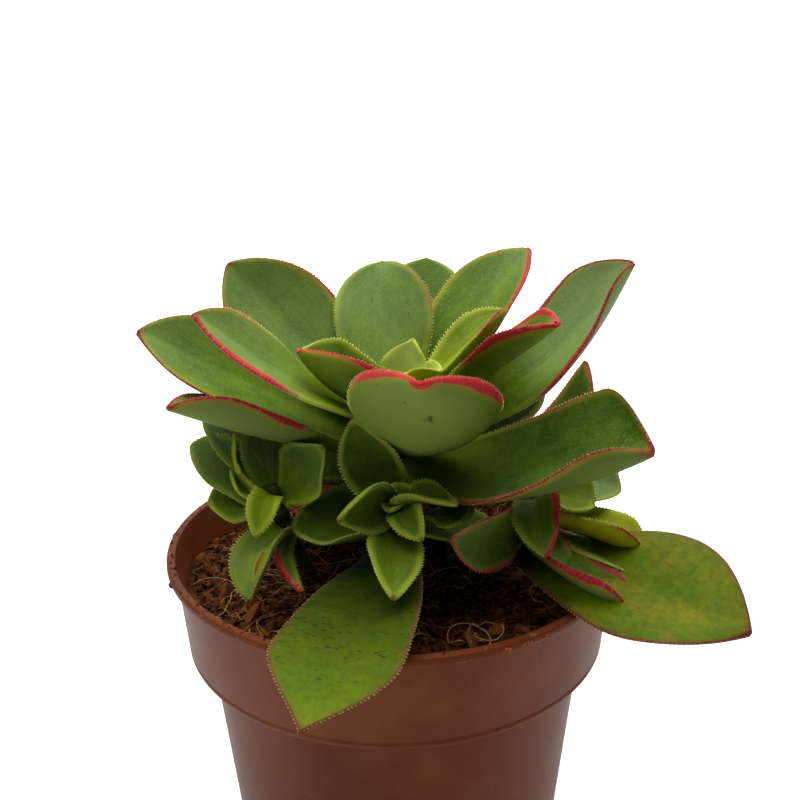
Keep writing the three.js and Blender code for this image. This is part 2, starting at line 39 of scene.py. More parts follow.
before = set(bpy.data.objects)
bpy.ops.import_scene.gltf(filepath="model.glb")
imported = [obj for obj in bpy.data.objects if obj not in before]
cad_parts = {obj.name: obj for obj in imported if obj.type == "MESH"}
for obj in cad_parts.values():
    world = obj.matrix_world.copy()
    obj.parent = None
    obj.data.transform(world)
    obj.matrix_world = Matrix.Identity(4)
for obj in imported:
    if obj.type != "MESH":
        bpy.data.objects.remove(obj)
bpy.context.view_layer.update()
MM = 0.001

# The part's own sizes, in millimetres
POT = Sizes(height=92, lip=52.5, mouth=50.5, lip_tall=1.8, band_top=50.6, band_foot=49, band_tall=23.2,
            shoulder=44.25, foot=37.5, wall=1.3, floor=1.8, drain_radius=3.2, drain_circle=24, drains=6)
LEDGE = POT.height - POT.band_tall
FLASH = Sizes(azimuths=(176, 203), wide=2.4, reach=0.6, tall=1.1)
# Shavings of plastic under the lip at the front: azimuth and spread in degrees, how many at each, sizes
SCRAPS = ((-66, 0.6), (-62, 1.2), (-56, 0.5))
SCRAP = Sizes(each=6, least=0.15, most=0.42, flat=0.6, long=1.5)
# sunk is how far the crumbled top lies under the smooth one, grit how high its crumbs stand
SOIL = Sizes(height=84.3, slope=-0.035, lump=0.7, sunk=0.35, grit=0.75, sides=220, rings=76)
# Loose crumbs, most of them small: rate says how soon larger ones get rare
CRUMB = Sizes(least=0.22, rate=4.5, most=1.3, flat=0.8, long=(1, 1, 1.6), sunk=0.3)
# Dry fibres: share that lies on the left, steps and points of their paths, curl and wander in radians
FIBRE = Sizes(left=0.65, step=1.3, points=(8, 20), fewest=4, curl=0.22, wander=0.16, radius=(0.06, 0.12))
# Specks of soil on the lip: how many, their sizes, and the azimuth and spread where most of them lie
SPECK = Sizes(count=60, least=0.14, most=0.4, azimuth=215, spread=34)
# Larger pieces of bark on the soil: place, size, length over width, and tone
CHUNKS = (
    (-30, -26.4, 2.3, 1.9, 0.95), (-24.3, -22.5, 2.4, 1.1, 0), (-38, -14, 1.7, 1.5, 0.8),
    (15, -37, 3.1, 1.4, 0.75), (9, -33, 2.2, 1.6, 0.6), (21, -33, 1.8, 1.2, 0.85), (-12, -33, 1.5, 1.4, 0.3),
    (30, -30, 1.5, 1.5, 0.5), (-36, 6, 1.6, 1.3, 0.6), (12, 34, 1.9, 1.4, 0.7), (-20, 36, 1.7, 1.3, 0.6),
)
GAP = 0.35
STEMS = {
    "main": ([(2, 4, 74), (2, 4, 126.5)], 3.2),
    "front": ([(2, 1, 102), (1.6, -9, 101.6), (1.4, -16, 102.5), (1, -21, 110)], 2),
    "left": ([(-15.7, -5.1, 76), (-22, -9.5, 93), (-27, -13, 110)], 2),
    "right": ([(14.5, -3.2, 76), (25, -6.5, 93), (33, -9, 106)], 2),
    "back": ([(-3, 24, 76), (-5, 27.5, 88), (-7, 31, 99)], 1.9),
}
# Straight lines through the stems' leafy lengths, on which the leaves are rooted
AXES = {
    "main": ((2, 4, 74), (2, 4, 131)),
    "foot": ((2, 3, 74), (2, 3, 131)),
    "front": ((1.6, -17.5, 100), (1, -21, 110)),
    "left": ((-17, -6, 80), (-27, -13, 110)),
    "right": ((17, -4, 80), (33, -9, 106)),
    "back": ((-4, 26, 83), (-7, 31, 99)),
}
TIP = Sizes(foot=126.8, top=131, radius=2.2)
# First numbers of the groups of leaves: a leaf's number seeds its teeth and moves its noise
FIRST = Sizes(main=0, hanging=30, offset=40, tip=79, bud=80)
OFFSET_STEP = 12
# How far from its axis a leaf starts
OFF = Sizes(main=2.5, bud=1.2, offset=1.6)
# A leaf's mesh, its thickness, and its teeth as shares of the full pitch and length
LARGE = Sizes(rows=64, columns=15, thick=2.6, pitch=1, teeth=0.9)
SMALL = Sizes(rows=40, columns=11, thick=2.0, pitch=0.95, teeth=1)
TINY = Sizes(rows=22, columns=8, thick=1.5, pitch=0.95, teeth=0.6)
TINY_LENGTH = 13
# Share of a leaf's length beyond which its cross direction is unsure
NEAR_TIP = 0.985
# Fold along the midrib in degrees, bluntness of the tip, groove over the midrib, and how much thinner the
# leaf is at its margin and its tip
FLESH = Sizes(fold=8, blunt=0.78, groove=0.12, groove_wide=0.05, margin=0.42, tip=0.45)
# Teeth: where they start and end along the leaf, half their base and their scatter as shares of the pitch,
# how deep they are rooted, and the range of their lengths
TOOTH = Sizes(start=0.1, end=0.995, base=0.45, scatter=0.18, root=0.35, least=0.65, most=1.15)
# Studio, in metres: the paper's sweep, the lamps (place, target, size, watts) and the camera
SWEEP = Sizes(front=-1.5, depth=1.6, wall=1.6, radius=0.5, half=2.5)
LAMPS = {
    "overhead": ((0.0, 0.3, 1.1), (0, 0, 0.1), 1.4, 26),
    "key": ((-0.7, -0.3, 1.0), (0, 0, 0.1), 0.7, 3),
    "backdrop": ((0, 0.9, 1.3), (0, 2.1, 0.5), 1.6, 40),
}
AIR_LIGHT = 0.12
CAMERA = Sizes(place=(0, -0.2132, 0.1969), forward=(0.008, 0.948, -0.318), right=(1.0, -0.013, -0.013),
               sensor=36, lens=45, nearest=0.01)

# How a leaf is where its row in the tables says nothing else
# Its default tone paints a little shade at a leaf's root
PLAIN = dict(axis="main", off=None, arch=0.5, sweep=0, roll=0, twist=0, neck=0.4, widest=0.6, point=1,
             red=0, lean=0, band=0.45, reach=0.7, crest=0.65, brown=0.2, young=0.3, old=0, teeth=1, sun=0,
             scar=None, tone=(-0.2, 0, 0))


def leaf(at, azimuth, rise, long, wide, cup, tip_cup=None, **form):
    """One leaf of the tables below, in the part's own terms.

    red, young and old say how red its margin is, how yellow-green it is and how old and specked it is.
    lean makes one margin redder than the other, band is the red's width, reach the share of the length
    that it runs from the tip, crest where it is widest and brown its dryness. teeth is the share of
    their full length, tone the painted shade (-1) or the bloom with painted sheen and light (1) on its
    blade at its root, middle and tip, sun how much painted light brightens it, most on its underside,
    and scar the place (along, across) and reach of a healed wound.
    """
    tip_cup = cup if tip_cup is None else tip_cup
    own = dict(at=at, azimuth=azimuth, rise=rise, long=long, wide=wide, cup=cup, tip_cup=tip_cup)
    return Sizes(**{**PLAIN, **own, **form})


# Most shape numbers in these tables were made by a fitting program, from outline points read off the photo,
# and then rounded. The heights, the looks and the other numbers were set one by one.
# Each row's tone paints shade on its leaf below 0, and bloom with painted sheen and light above 0
MAIN_LEAVES = {
    "inner_left": leaf(
        124, -141, 35, 32.5, 28.5, 68, 56, arch=-3.5, sweep=1, roll=-27, twist=26, neck=0.6, widest=0.55,
        point=1.2, red=0.5, lean=0.9, band=1.2, reach=0.85, brown=0, young=0.7, tone=(-0.4, -0.3, 0)),
    "inner_right": leaf(
        124, 24, 36, 33.5, 14.5, 41, 63, sweep=-1.5, roll=6, twist=-11, neck=0.3, widest=0.7, red=0.3,
        lean=-0.6, band=0.6, reach=0.5, young=0.55, sun=0.2, tone=(-0.2, -0.2, 0)),
    "back_centre": leaf(
        122.5, 97, 48, 42, 24.5, 3, 37, off=4.2, arch=2, sweep=1.5, roll=-4, twist=-12, neck=0.45,
        widest=0.55, red=0.2, lean=-0.5, young=0.25, tone=(0.2, 0.25, 0.2)),
    "near_right": leaf(
        122, -29, 35, 44.5, 20, 39, 61, arch=-1, sweep=5.5, roll=4, twist=-8, neck=0.35, widest=0.7,
        point=1.2, red=1, lean=-0.2, band=1.6, reach=0.62, crest=0.82, brown=0, young=0.75,
        tone=(-0.3, -0.4, -0.15)),
    "back_right": leaf(
        120, 44, 37, 57, 23, 21, 42, arch=-0.5, sweep=1.5, roll=14, twist=-13, widest=0.65, red=0.6,
        lean=-0.7, band=1.3, crest=0.9, tone=(-0.4, -0.05, 0.25)),
    "left_mid": leaf(
        118, -152, 36, 57.5, 24, 2, 20, arch=-2.5, sweep=1.5, twist=-32, neck=0.35, widest=0.65, red=0.65,
        lean=0.6, band=1.9, reach=0.45, crest=0.76, brown=0.1, young=0.45, tone=(-0.5, 0.1, 0.25)),
    "back_left": leaf(
        116, 155, 41, 58.5, 27, 18, 17, arch=-1.5, sweep=-2, roll=-28, twist=-10, neck=0.35, widest=0.65,
        red=0.6, lean=-0.2, band=0.4, reach=0.75, brown=0.35, tone=(-0.3, 0.25, 0.2)),
    "back_tall": leaf(
        116, 80, 36, 57, 24, 16, widest=0.65, red=0.1, young=0.2, tone=(-0.2, -0.2, -0.15)),
    "front": leaf(
        114, -86, 34, 53, 36, 10, 73, arch=-6, sweep=1.5, roll=-5, twist=-8, neck=0.25, widest=0.65,
        red=0.78, lean=0.3, band=2.5, reach=0.42, crest=0.84, brown=0, scar=(0.8, 0.06, 1.3),
        tone=(-0.8, -0.05, 0.12)),
    "right_back": leaf(
        114, 5, 38.5, 67, 27.5, 2, 52.5, arch=-7, sweep=2, roll=41, twist=-41.5, neck=0.2, widest=0.8,
        red=0.7, lean=-0.45, band=1.9, reach=0.6, crest=0.66, brown=0.7, young=0.2,
        tone=(-0.85, 0.2, 0.65)),
    "left_outer": leaf(
        112, -175, 29, 65.5, 24, 14, 29, arch=-1.5, sweep=-2.5, roll=-33, twist=3, neck=0.25, widest=0.7,
        red=0.5, lean=0.4, band=0.4, brown=1, young=0.2, tone=(-0.65, -0.1, 0.25)),
    "back_mid_left": leaf(
        112.5, 112, 21, 55, 26, 21, arch=-0.5, sweep=1.5, roll=12, twist=5, neck=0.45, widest=0.55, red=0.6,
        young=0.25, tone=(-0.8, -0.7, -0.5)),
    "back_mid_right": leaf(
        111, 42, 12, 49, 26, 18, 24, arch=0, sweep=1, roll=32, neck=0.35, widest=0.65, red=0.2, young=0.2,
        tone=(-1, -0.95, -0.8)),
    "left_low": leaf(
        110, -157, 22, 56.5, 18.5, 33, 71, arch=-1.5, sweep=-2.5, roll=11, twist=5, neck=0.25, widest=0.75,
        red=0.8, lean=0.4, band=1.4, reach=0.62, crest=0.5, brown=0.25, young=0.2, tone=(-0.2, 0.15, 0.2)),
    "right_low": leaf(
        110, -40, 15, 64.5, 34.5, 2, 72, arch=-3.5, sweep=-3, roll=37, twist=-21, neck=0.3, widest=0.85,
        red=0.5, lean=-0.4, band=1, reach=0.8, crest=0.6, brown=0.95, young=0.15, tone=(-0.4, -0.65, -0.1)),
    "right_behind": leaf(
        109, 23.5, 20.5, 53.5, 18.5, 11.5, 10.5, arch=-12.5, sweep=-8.5, roll=-1.5, twist=18, widest=0.5,
        red=0.8, band=1.2, reach=0.6, young=0.5, tone=(-0.8, -0.5, -0.2)),
    "back_low_left": leaf(
        105.5, 150, 4, 44, 28, 22, arch=1.5, roll=-35, red=0.2, young=0.2, tone=(-0.8, -0.6, -0.4)),
    "back_low_right": leaf(
        107.5, 60, 5, 58, 25, 22, arch=2, red=0.6, young=0.2, tone=(-0.9, -0.85, -0.6)),
    "back_low_mid": leaf(
        106, 93, 4, 60, 26, 20, arch=3, red=0.5, young=0.2, tone=(-0.9, -0.8, -0.6)),
}
HANGING_LEAVES = {
    "front": leaf(
        92.5, -104.8, -3.5, 74.5, 27, 2, 16, axis="foot", arch=4, sweep=3, roll=13, twist=-13, neck=0.2,
        widest=0.77, point=1.8, red=0.05, young=0.8, old=0.8, teeth=0.7, tone=(-0.95, -0.75, -0.05)),
    "right": leaf(
        93, -46.4, 2, 60.5, 31, 2, 14.5, axis="right", arch=1, sweep=-1, roll=13.5, twist=9.5, neck=0.3,
        widest=0.64, point=1.15, red=0.05, young=0.1, old=1, teeth=0.6, tone=(-0.9, -0.1, -0.3)),
}
BUD_LEAVES = [
    leaf(125.5, 60, 66, 14, 13, 25, 32, arch=0, neck=0.5, widest=0.4, point=1.5, young=1, sun=0.5,
         tone=(0.2, 0.5, 0.5)),
    leaf(125.5, -28, 36, 12.5, 10, 58, arch=1, neck=0.5, young=1, sun=0.5, tone=(0, 0.3, 0.3)),
    leaf(126, 200, 70, 7, 6, 40, arch=0, young=1, sun=0.5, tone=(0, 0.1, 0.1)),
    leaf(126, 320, 72, 7, 6, 40, arch=0, young=1, sun=0.5, tone=(0, 0.1, 0.1)),
]
OFFSET_LEAVES = {
    "front": [
        leaf(104.5, 160, 69, 25.5, 15, 14, 32, arch=1, roll=-62, twist=-52, young=0.5,
             tone=(-0.7, -0.75, -0.4)),
        leaf(106.5, -134, 16, 18.5, 12, 32, 60, arch=3, sweep=1, roll=-68, twist=-26, young=0.5,
             tone=(-0.75, -0.65, -0.3)),
        leaf(104.5, -94, -9, 26.5, 12, 14, 36, arch=1.5, sweep=-0.5, roll=-9, twist=-12, widest=0.55,
             young=0.55, tone=(-0.6, -0.4, 0)),
        leaf(107.5, -74, 1, 15.5, 8, 31, 40, arch=2.5, sweep=-1, roll=18, twist=22, young=0.6,
             tone=(-0.7, -0.6, -0.3)),
        leaf(106, -33, 25, 15.5, 11, 61, 8, arch=4, sweep=-3, roll=9, twist=-15, neck=0.5, widest=0.5,
             young=0.5, tone=(-0.5, -0.4, -0.2)),
        leaf(104.5, -18, 17, 16.5, 14, 31, 2, arch=-1.5, sweep=1.5, roll=-31, twist=50, neck=0.45,
             widest=0.65, young=0.4, tone=(-0.6, -0.5, -0.3)),
        leaf(101.5, 8, -20, 24.5, 17, 22, 15, arch=2, roll=3, twist=15, neck=0.35, widest=0.65, young=0.6,
             tone=(0.1, 0.1, 0)),
        leaf(103, 178, 2, 23.5, 21.5, 58, 11, arch=-1, roll=-5, twist=-21, widest=0.4,
             tone=(-0.7, -0.6, -0.4)),
        leaf(106.5, 95, 70, 5, 8.5, 35, off=-3, young=0.8, tone=(-0.6, -0.5, -0.2)),
        leaf(109, -155, 30, 6, 6, 50, young=0.8, tone=(-0.6, -0.5, -0.2)),
        leaf(108.5, -105, 22, 9, 6, 40, young=0.8, tone=(-0.6, -0.5, -0.2)),
        leaf(109, -41, 28, 6, 6, 50, young=0.8, tone=(-0.6, -0.5, -0.2)),
    ],
    "left": [
        leaf(101, 167, 41, 27.5, 13.5, 18, 27, arch=1.5, roll=-21, twist=-23, widest=0.65, red=0.15,
             young=0.25, tone=(0.1, 0.25, 0.3)),
        leaf(104, 142, 45, 29.5, 14, 23, 27, sweep=-0.5, twist=-16, neck=0.35, widest=0.65, young=0.1,
             tone=(0, 0.4, 0.4)),
        leaf(107, 137.5, 45.5, 17.5, 15.5, 55, 43.5, off=0, arch=-5.5, sweep=0.5, roll=21.5, twist=3.5,
             widest=0.5, young=1, sun=0.3, tone=(0.2, 0.3, 0.2)),
        leaf(106, 107, 47, 20, 13, 19, 31, arch=-0.5, sweep=1, roll=9, twist=11, young=0.1,
             tone=(0, 0.3, 0.3)),
        leaf(107, 9, 50, 16.5, 17.5, 8, 46, arch=-1, roll=38, twist=-9, neck=0.3, widest=0.55, young=0.1,
             tone=(-0.2, 0.05, 0.1)),
        leaf(103, -173, 16, 16.5, 13, 14, sweep=-1, roll=-17, twist=-19, neck=0.35, young=0.5,
             tone=(0, -0.1, 0)),
        leaf(107, 169, 40, 12, 7, 28, 20, arch=-2, sweep=1, twist=7, neck=0.45, young=0.6,
             tone=(0, 0.1, 0)),
        leaf(106, -104, -10, 13, 7.5, 42.5, 34, arch=5, sweep=0.5, roll=-13.5, twist=-8.5, young=1, sun=0.1,
             tone=(0, 0, 0)),
        leaf(99, -106, -16, 23.5, 12, 52, 56, arch=4, sweep=-1, roll=-3, twist=25, neck=0.45, old=0.3,
             scar=(0.68, 0.3, 1.7), tone=(-0.1, 0.15, 0.1)),
        leaf(98, -79, -12, 20.5, 5.5, 52, arch=-0.5, sweep=-3, roll=-18, twist=-27, neck=0.55, widest=0.55,
             red=0.42, lean=-1, band=1.5, brown=0, tone=(-0.4, 0, 0.1)),
    ],
    "right": [
        leaf(104, -26, 9, 13.5, 15.5, 49, arch=1.5, sweep=-1, roll=20, twist=11, widest=0.65, young=0.6,
             sun=0.1, tone=(-0.3, -0.1, 0.1)),
        leaf(102, 3, 11, 21, 15, 21, 38, arch=3, sweep=1, roll=15, twist=22, widest=0.65, young=0.1,
             tone=(0.1, 0.35, 0.4)),
        leaf(101, -31, -9, 27.5, 16, 59, 77, arch=1, sweep=-0.5, roll=-7, twist=-6, widest=0.75, red=0.45,
             lean=-0.6, band=1, reach=0.35, young=1, sun=0.75, tone=(-0.1, -0.1, 0)),
        leaf(103, -91, -6, 21.5, 12, 34, 32, arch=5.5, sweep=-0.5, roll=20, twist=7, red=0.5, lean=1,
             band=1.4, reach=0.9, brown=0, young=0.4, tone=(-0.7, -0.4, 0.2)),
        leaf(100, -65, -13, 20, 8.5, 19, arch=1, sweep=-2, roll=6, twist=-4, red=0.6, brown=0, young=0.5,
             tone=(-0.3, 0.1, 0.2)),
        leaf(97.5, -58, -8, 36, 14, 42, 82, arch=1, sweep=-3.5, roll=4, twist=-26, neck=0.35, widest=0.8,
             red=0.6, lean=-0.3, band=1.7, crest=0.75, brown=0.1, tone=(-0.5, -0.1, 0.2)),
        leaf(98, -42, -5, 32, 9.5, 12, 28, sweep=-0.5, roll=3, twist=-8, neck=0.35, widest=0.75,
             tone=(-0.5, 0, 0.1)),
        leaf(97, -127, 17, 27.5, 15, 20, 50, arch=1, sweep=4, roll=-60, twist=-50, neck=0.3, widest=0.75,
             red=0.42, band=0.9, reach=0.95, brown=0, young=0.2, tone=(-0.4, 0, 0.25)),
        leaf(96, -97, -2, 11, 8, 30, arch=0, sweep=-1),
    ],
    "back": [
        leaf(92 + 0.8 * i, 60 + 137.5 * i, 4 + 10 * i, 25 - 1.4 * i, 12.5, 28, red=0.1, arch=0)
        for i in range(7)
    ],
}


# Materials

def srgb(red, green, blue):
    """Colour given as it shows on a screen, 0 to 255, in the shader's linear values."""
    def linear(part):
        part /= 255
        return part / 12.92 if part <= 0.04045 else ((part + 0.055) / 1.055) ** 2.4
    return (linear(red), linear(green), linear(blue), 1.0)


class Value:
    """Output of a shader node that is used in plain sums."""

    def __init__(self, graph, socket):
        self.graph = graph
        self.socket = socket

    def _math(self, operation, first, second):
        return self.graph.node("ShaderNodeMath", {"operation": operation}, {0: first, 1: second})

    def __add__(self, other):
        return self._math("ADD", self, other)

    def __sub__(self, other):
        return self._math("SUBTRACT", self, other)

    def __rsub__(self, other):
        return self._math("SUBTRACT", other, self)

    def __mul__(self, other):
        return self._math("MULTIPLY", self, other)

    __radd__ = __add__
    __rmul__ = __mul__

    def between(self, low, high):
        """0 at low and 1 at high, eased at both ends; low may be the larger."""
        flip = low > high
        first, last = sorted((low, high))
        settings = {"interpolation_type": "SMOOTHSTEP"}
        inputs = {"Value": self, "From Min": first, "From Max": last}
        eased = self.graph.node("ShaderNodeMapRange", settings, inputs, "Result")
        return 1 - eased if flip else eased


class Graph:
    """Nodes of one material. A colour may be given by its name in the look."""

    def __init__(self, name, look):
        self.look = look
        self.material = bpy.data.materials.new(name)
        self.material.use_nodes = True
        self.tree = self.material.node_tree
        self.tree.nodes.clear()

    def node(self, kind, settings=None, inputs=None, output=0):
        """Adds a node, sets it, then links or sets its sockets, and returns one of its outputs."""
        made = self.tree.nodes.new(kind)
        for name, value in (settings or {}).items():
            setattr(made, name, value)
        for key, value in (inputs or {}).items():
            if isinstance(value, Value):
                self.tree.links.new(value.socket, made.inputs[key])
                continue
            if isinstance(value, str):
                value = tuple(getattr(self.look, value))
            made.inputs[key].default_value = value
        return None if output is None else Value(self, made.outputs[output])

    def attribute(self, name, output="Vector"):
        settings = {"attribute_type": "GEOMETRY", "attribute_name": name}
        return self.node("ShaderNodeAttribute", settings, output=output)

    def parts(self, vector):
        """The three numbers of a vector."""
        split = self.node("ShaderNodeSeparateXYZ", {}, {0: vector}).socket.node
        return [Value(self, socket) for socket in split.outputs]

    def vector(self, x, y, z):
        return self.node("ShaderNodeCombineXYZ", {}, {0: x, 1: y, 2: z})

    def position(self):
        return self.node("ShaderNodeTexCoord", output="Object")

    def noise(self, vector, scale=1.0, detail=3.0, rough=0.5):
        inputs = {"Vector": vector, "Scale": scale, "Detail": detail, "Roughness": rough}
        return self.node("ShaderNodeTexNoise", {"normalize": True}, inputs, "Fac")

    def stretched(self, across, upright):
        """Noise with one scale across the pot and another up it."""
        x, y, z = self.parts(self.position())
        return self.noise(self.vector(x * across, y * across, z * upright))

    def cells(self, vector, scale=1.0):
        return self.node("ShaderNodeTexVoronoi", {}, {"Vector": vector, "Scale": scale}, "Distance")

    def mix(self, factor, first, second):
        """Colour that goes from first to second as factor goes from 0 to 1."""
        inputs = {0: factor, 6: first, 7: second}
        return self.node("ShaderNodeMix", {"data_type": "RGBA", "clamp_factor": True}, inputs, 2)

    def paint(self, ground, *coats):
        """Ground colour under coats of (factor, colour) that lie one over another."""
        for factor, colour in coats:
            ground = self.mix(factor, ground, colour)
        return ground

    def bump(self, height, distance):
        return self.node("ShaderNodeBump", {}, {"Height": height, "Distance": distance, "Strength": 1.0})

    def surface(self, **inputs):
        """Closes the material with one Principled shader."""
        named = {key.replace("_", " ").title().replace("Ior", "IOR"): value for key, value in inputs.items()}
        shader = self.node("ShaderNodeBsdfPrincipled", {}, named)
        self.node("ShaderNodeOutputMaterial", {}, {"Surface": shader}, None)
        return self.material


def leaf_skin(look):
    """Fleshy leaf: green with a paler root, a toothed margin in red or yellow-green, a greyer underside."""
    graph = Graph("leaf_skin", look)
    mix, paint = graph.mix, graph.paint
    across, along, number = graph.parts(graph.attribute("place"))
    length, edge, under = graph.parts(graph.attribute("form"))
    red, young, old = graph.parts(graph.attribute("kind"))
    band, brown, scar = graph.parts(graph.attribute("rim"))
    tooth, tone, sun = graph.parts(graph.attribute("tint"))

    def place(wide, long, shift):
        """Place on the leaf in stretched millimetres, far apart from one leaf to the next."""
        return graph.vector(across * wide, along * long, number * shift)

    def cloud(wide, long, shift, detail=4.0, rough=0.6):
        return graph.noise(place(wide, long, shift), 1.0, detail, rough)

    lines = cloud(0.9, 0.07, 7.3)
    patches = cloud(0.13, 0.09, 3.1)
    mottle = cloud(0.75, 0.55, 8.7, rough=0.65)
    grain = cloud(2.5, 2.0, 5.7, 3.0, 0.7)
    fine = cloud(7.5, 6.5, 3.7, 2.0)
    wander = cloud(0.2, 0.35, 9.1, 3.0, 0.5) - 0.5
    scatter = cloud(0.06, 0.22, 2.3, 3.0, 0.7)

    # Flesh, young and old, its underside, then painted shade, the bloom with painted sheen and light,
    # and painted light that brightens mostly the underside
    olive = paint(
        mix(patches.between(0.3, 0.7) * (1 - young), "old_green", "old_olive"),
        (mottle.between(0.4, 0.7) * 0.5, "green_deep"),
        (grain.between(0.55, 0.75) * 0.3, "green_pale"))
    beneath = paint(
        mix(mottle.between(0.35, 0.7) * 0.35, "underside", "green"),
        (young * 0.75 + length.between(0.5, 0) * 0.3, "green_young"))
    # Painted shade: a tone below 0 darkens the blade towards the shaded green, a little unevenly
    shade = (tone + wander * 0.3) * (tone * -9).between(0, 1) * -1
    flesh = paint(
        mix(patches.between(0.34, 0.66), "green_deep", "green"),
        (lines.between(0.46, 0.72) * 0.2, "green_pale"),
        (grain.between(0.45, 0.68) * mottle.between(0.28, 0.65) * 0.75, "green_pale"),
        (fine.between(0.48, 0.75) * 0.3, "green_deep"),
        (young * 0.45 + length.between(0.65, 0.05) * (0.35 + young * 0.5), "green_young"),
        (old * 0.85, olive),
        (under * 0.8, beneath),
        (shade, "green_shade"),
        # painted sheen and light where the tone is above 0, over the leaf's greyish bloom
        (tone, "green_frost"),
        # painted light that brightens the leaf, mostly its underside
        (sun * (0.3 + under * 0.8), "green_sun"))

    # Margin: a yellow halo, the blush beside the red, the red line itself, dried parts and the teeth
    rim = edge + wander * 0.9
    halo = rim.between(1.9, 0.1) * (1 - red * 0.8) * (0.4 + young * 0.4) * (1 - old * 1.6)
    blush = (rim - band).between(1.9, 0.1) * red.between(0.1, 0.9)
    beads = graph.cells(graph.vector(0.5, along * 1.19, number * 2.7)).between(0.42, 0.18)
    tint = paint(
        mix(red.between(0.2, 0.7), "margin_pink", "margin_red"),
        (brown, "margin_brown"),
        (beads * edge.between(0.95, 0.4) * 0.35 + grain.between(0.4, 0.7) * 0.25, "tooth_red"))
    line = (rim - band).between(0.3, -0.1) * (red + wander * 0.5).between(0.05, 0.4)
    tan = rim.between(3.2, 0.6) * old * (1 - red) * wander.between(-0.15, 0.2)
    dry = (edge + wander * 0.6).between(0.75, 0.3) * old

    # Marks: specks on old leaves, a few dark dots, and the healed wound
    speck = graph.cells(place(0.42, 1.3, 4.9)).between(0.38, 0.16)
    flecked = old.between(0.2, 0.7) * (0.15 + young) * length.between(0.95, 0.75)
    dot = graph.cells(place(0.22, 0.17, 1.9)).between(0.07, 0.035)
    ragged = scar + mottle * 0.6 - 0.3
    skin = paint(
        flesh,
        (halo * 0.75, "margin_yellow"),
        (blush * 0.55, "margin_blush"),
        (line, tint),
        (tan * 0.5, "margin_dry"),
        (dry * 1.1, "margin_dry"),
        (length.between(0.965, 0.995) * (brown * 0.7 + old * 0.3), "margin_brown"),
        # painted shade darkens the margins too, at half strength
        (shade * 0.5, "green_shade"),
        (tooth * 0.8, mix(red.between(0.05, 0.5), "tooth_pale", "tooth_red")),
        ((speck * scatter.between(0.44, 0.58) * flecked * 0.85 + dot * 0.6) * (1 - tooth), "speck"),
        (ragged.between(0.1, 0.35) * old, "margin_yellow"),
        (ragged.between(0.35, 0.7) * 0.8, mix(old * 4, "speck", "margin_brown")))
    relief = lines * 0.35 + grain * 0.4 + mottle * 0.5 + patches * 0.6
    return graph.surface(
        base_color=skin, roughness=0.42 + grain * 0.16 + under * 0.06 + shade * 0.4,
        normal=graph.bump(relief, 0.2 * MM), specular_ior_level=0.06, subsurface_weight=0.06,
        subsurface_radius=(0.6, 1.0, 0.25), subsurface_scale=1.2 * MM)


def stem_bark(look):
    """Green-brown skin of a stem, paler between its leaf scars."""
    graph = Graph("stem_bark", look)
    rings = graph.stretched(220, 900)
    skin = graph.mix(rings.between(0.35, 0.65), "bark_dark", "bark_pale")
    return graph.surface(base_color=skin, roughness=0.7, normal=graph.bump(rings, 0.3 * MM),
                         specular_ior_level=0.15)


def pot_plastic(look, name="pot_plastic", torn=0.0):
    """Warm brown moulded plastic, satin, with faint flow marks, scuffs and soil dust near its lip.

    torn turns it to the paler orange of freshly torn plastic.
    """
    graph = Graph(name, look)
    place = graph.position()
    _, _, z = graph.parts(place)
    top, ledge = POT.height * MM, LEDGE * MM
    cloud = graph.noise(place, 26.0, 4.0, 0.6)
    near_lip = z.between(top - 5 * MM, top - 0.5 * MM)
    dust = graph.noise(place, 240.0, 4.0, 0.7).between(0.6, 0.74) * near_lip
    pits = graph.cells(place, 520.0).between(0.16, 0.02)
    scratch = graph.stretched(420, 50).between(0.62, 0.78) * z.between(top - 16 * MM, top - 4 * MM)
    scuffs = graph.stretched(300, 1600).between(0.66, 0.76) * 0.12 + pits * 0.08
    scuffs = scuffs + scratch * cloud.between(0.45, 0.6) * 0.35
    on_ledge = z.between(ledge - 1.4 * MM, ledge - 0.2 * MM) * z.between(ledge + 1.8 * MM, ledge + 0.6 * MM)
    chips = graph.cells(place, 150.0).between(0.2, 0.08) * on_ledge
    brown = graph.paint(
        graph.mix(graph.stretched(38, 11).between(0.3, 0.7), "pot_dark", "pot_brown"),
        (cloud.between(0.45, 0.7) * 0.35, "pot_pale"),
        (dust * 0.5, "pot_dust"),
        (scuffs + chips * 0.6, "pot_pale"),
        (torn, "pot_torn"))
    relief = cloud * 0.6 + graph.noise(place, 700.0, 2.0) * 0.4
    return graph.surface(
        base_color=brown, roughness=0.38 + cloud * 0.16, normal=graph.bump(relief, 0.12 * MM),
        specular_ior_level=0.06)


def soil_crumb(look, name, dark, warm, pale):
    """Coir and bark: dull, speckled from dark to warm brown, with painted shade that darkens it under the
    plant.
    """
    graph = Graph(name, look)
    place = graph.position()
    own = graph.attribute("tone", "Fac")
    broad = graph.noise(place, 60.0)
    fine = graph.noise(place, 900.0, 4.0, 0.7)
    x, y, _ = graph.parts(place)
    centre = graph.node("ShaderNodeVectorMath", {"operation": "LENGTH"}, {0: graph.vector(x, y * 1.25, 0)}, 1)
    earth = graph.paint(
        graph.mix(fine.between(0.35, 0.68), dark, warm),
        (own.between(0.55, 1.0) * (0.4 + broad * 0.5), pale),
        # painted shade: darker soil under the plant, where its leaves shade it
        ((centre + broad * 0.01).between(0.042, 0.022) * 0.8, dark))
    return graph.surface(base_color=earth, roughness=0.92, normal=graph.bump(fine, 0.3 * MM),
                         specular_ior_level=0.08)


def studio_paper(look):
    return Graph("studio_paper", look).surface(base_color="paper", roughness=0.9)


def once(make, look):
    """Material that several pieces share, made for the first of them."""
    return bpy.data.materials.get(make.__name__) or make(look)


# Shapes

LEAF_FIELDS = ("place", "form", "kind", "rim", "tint")


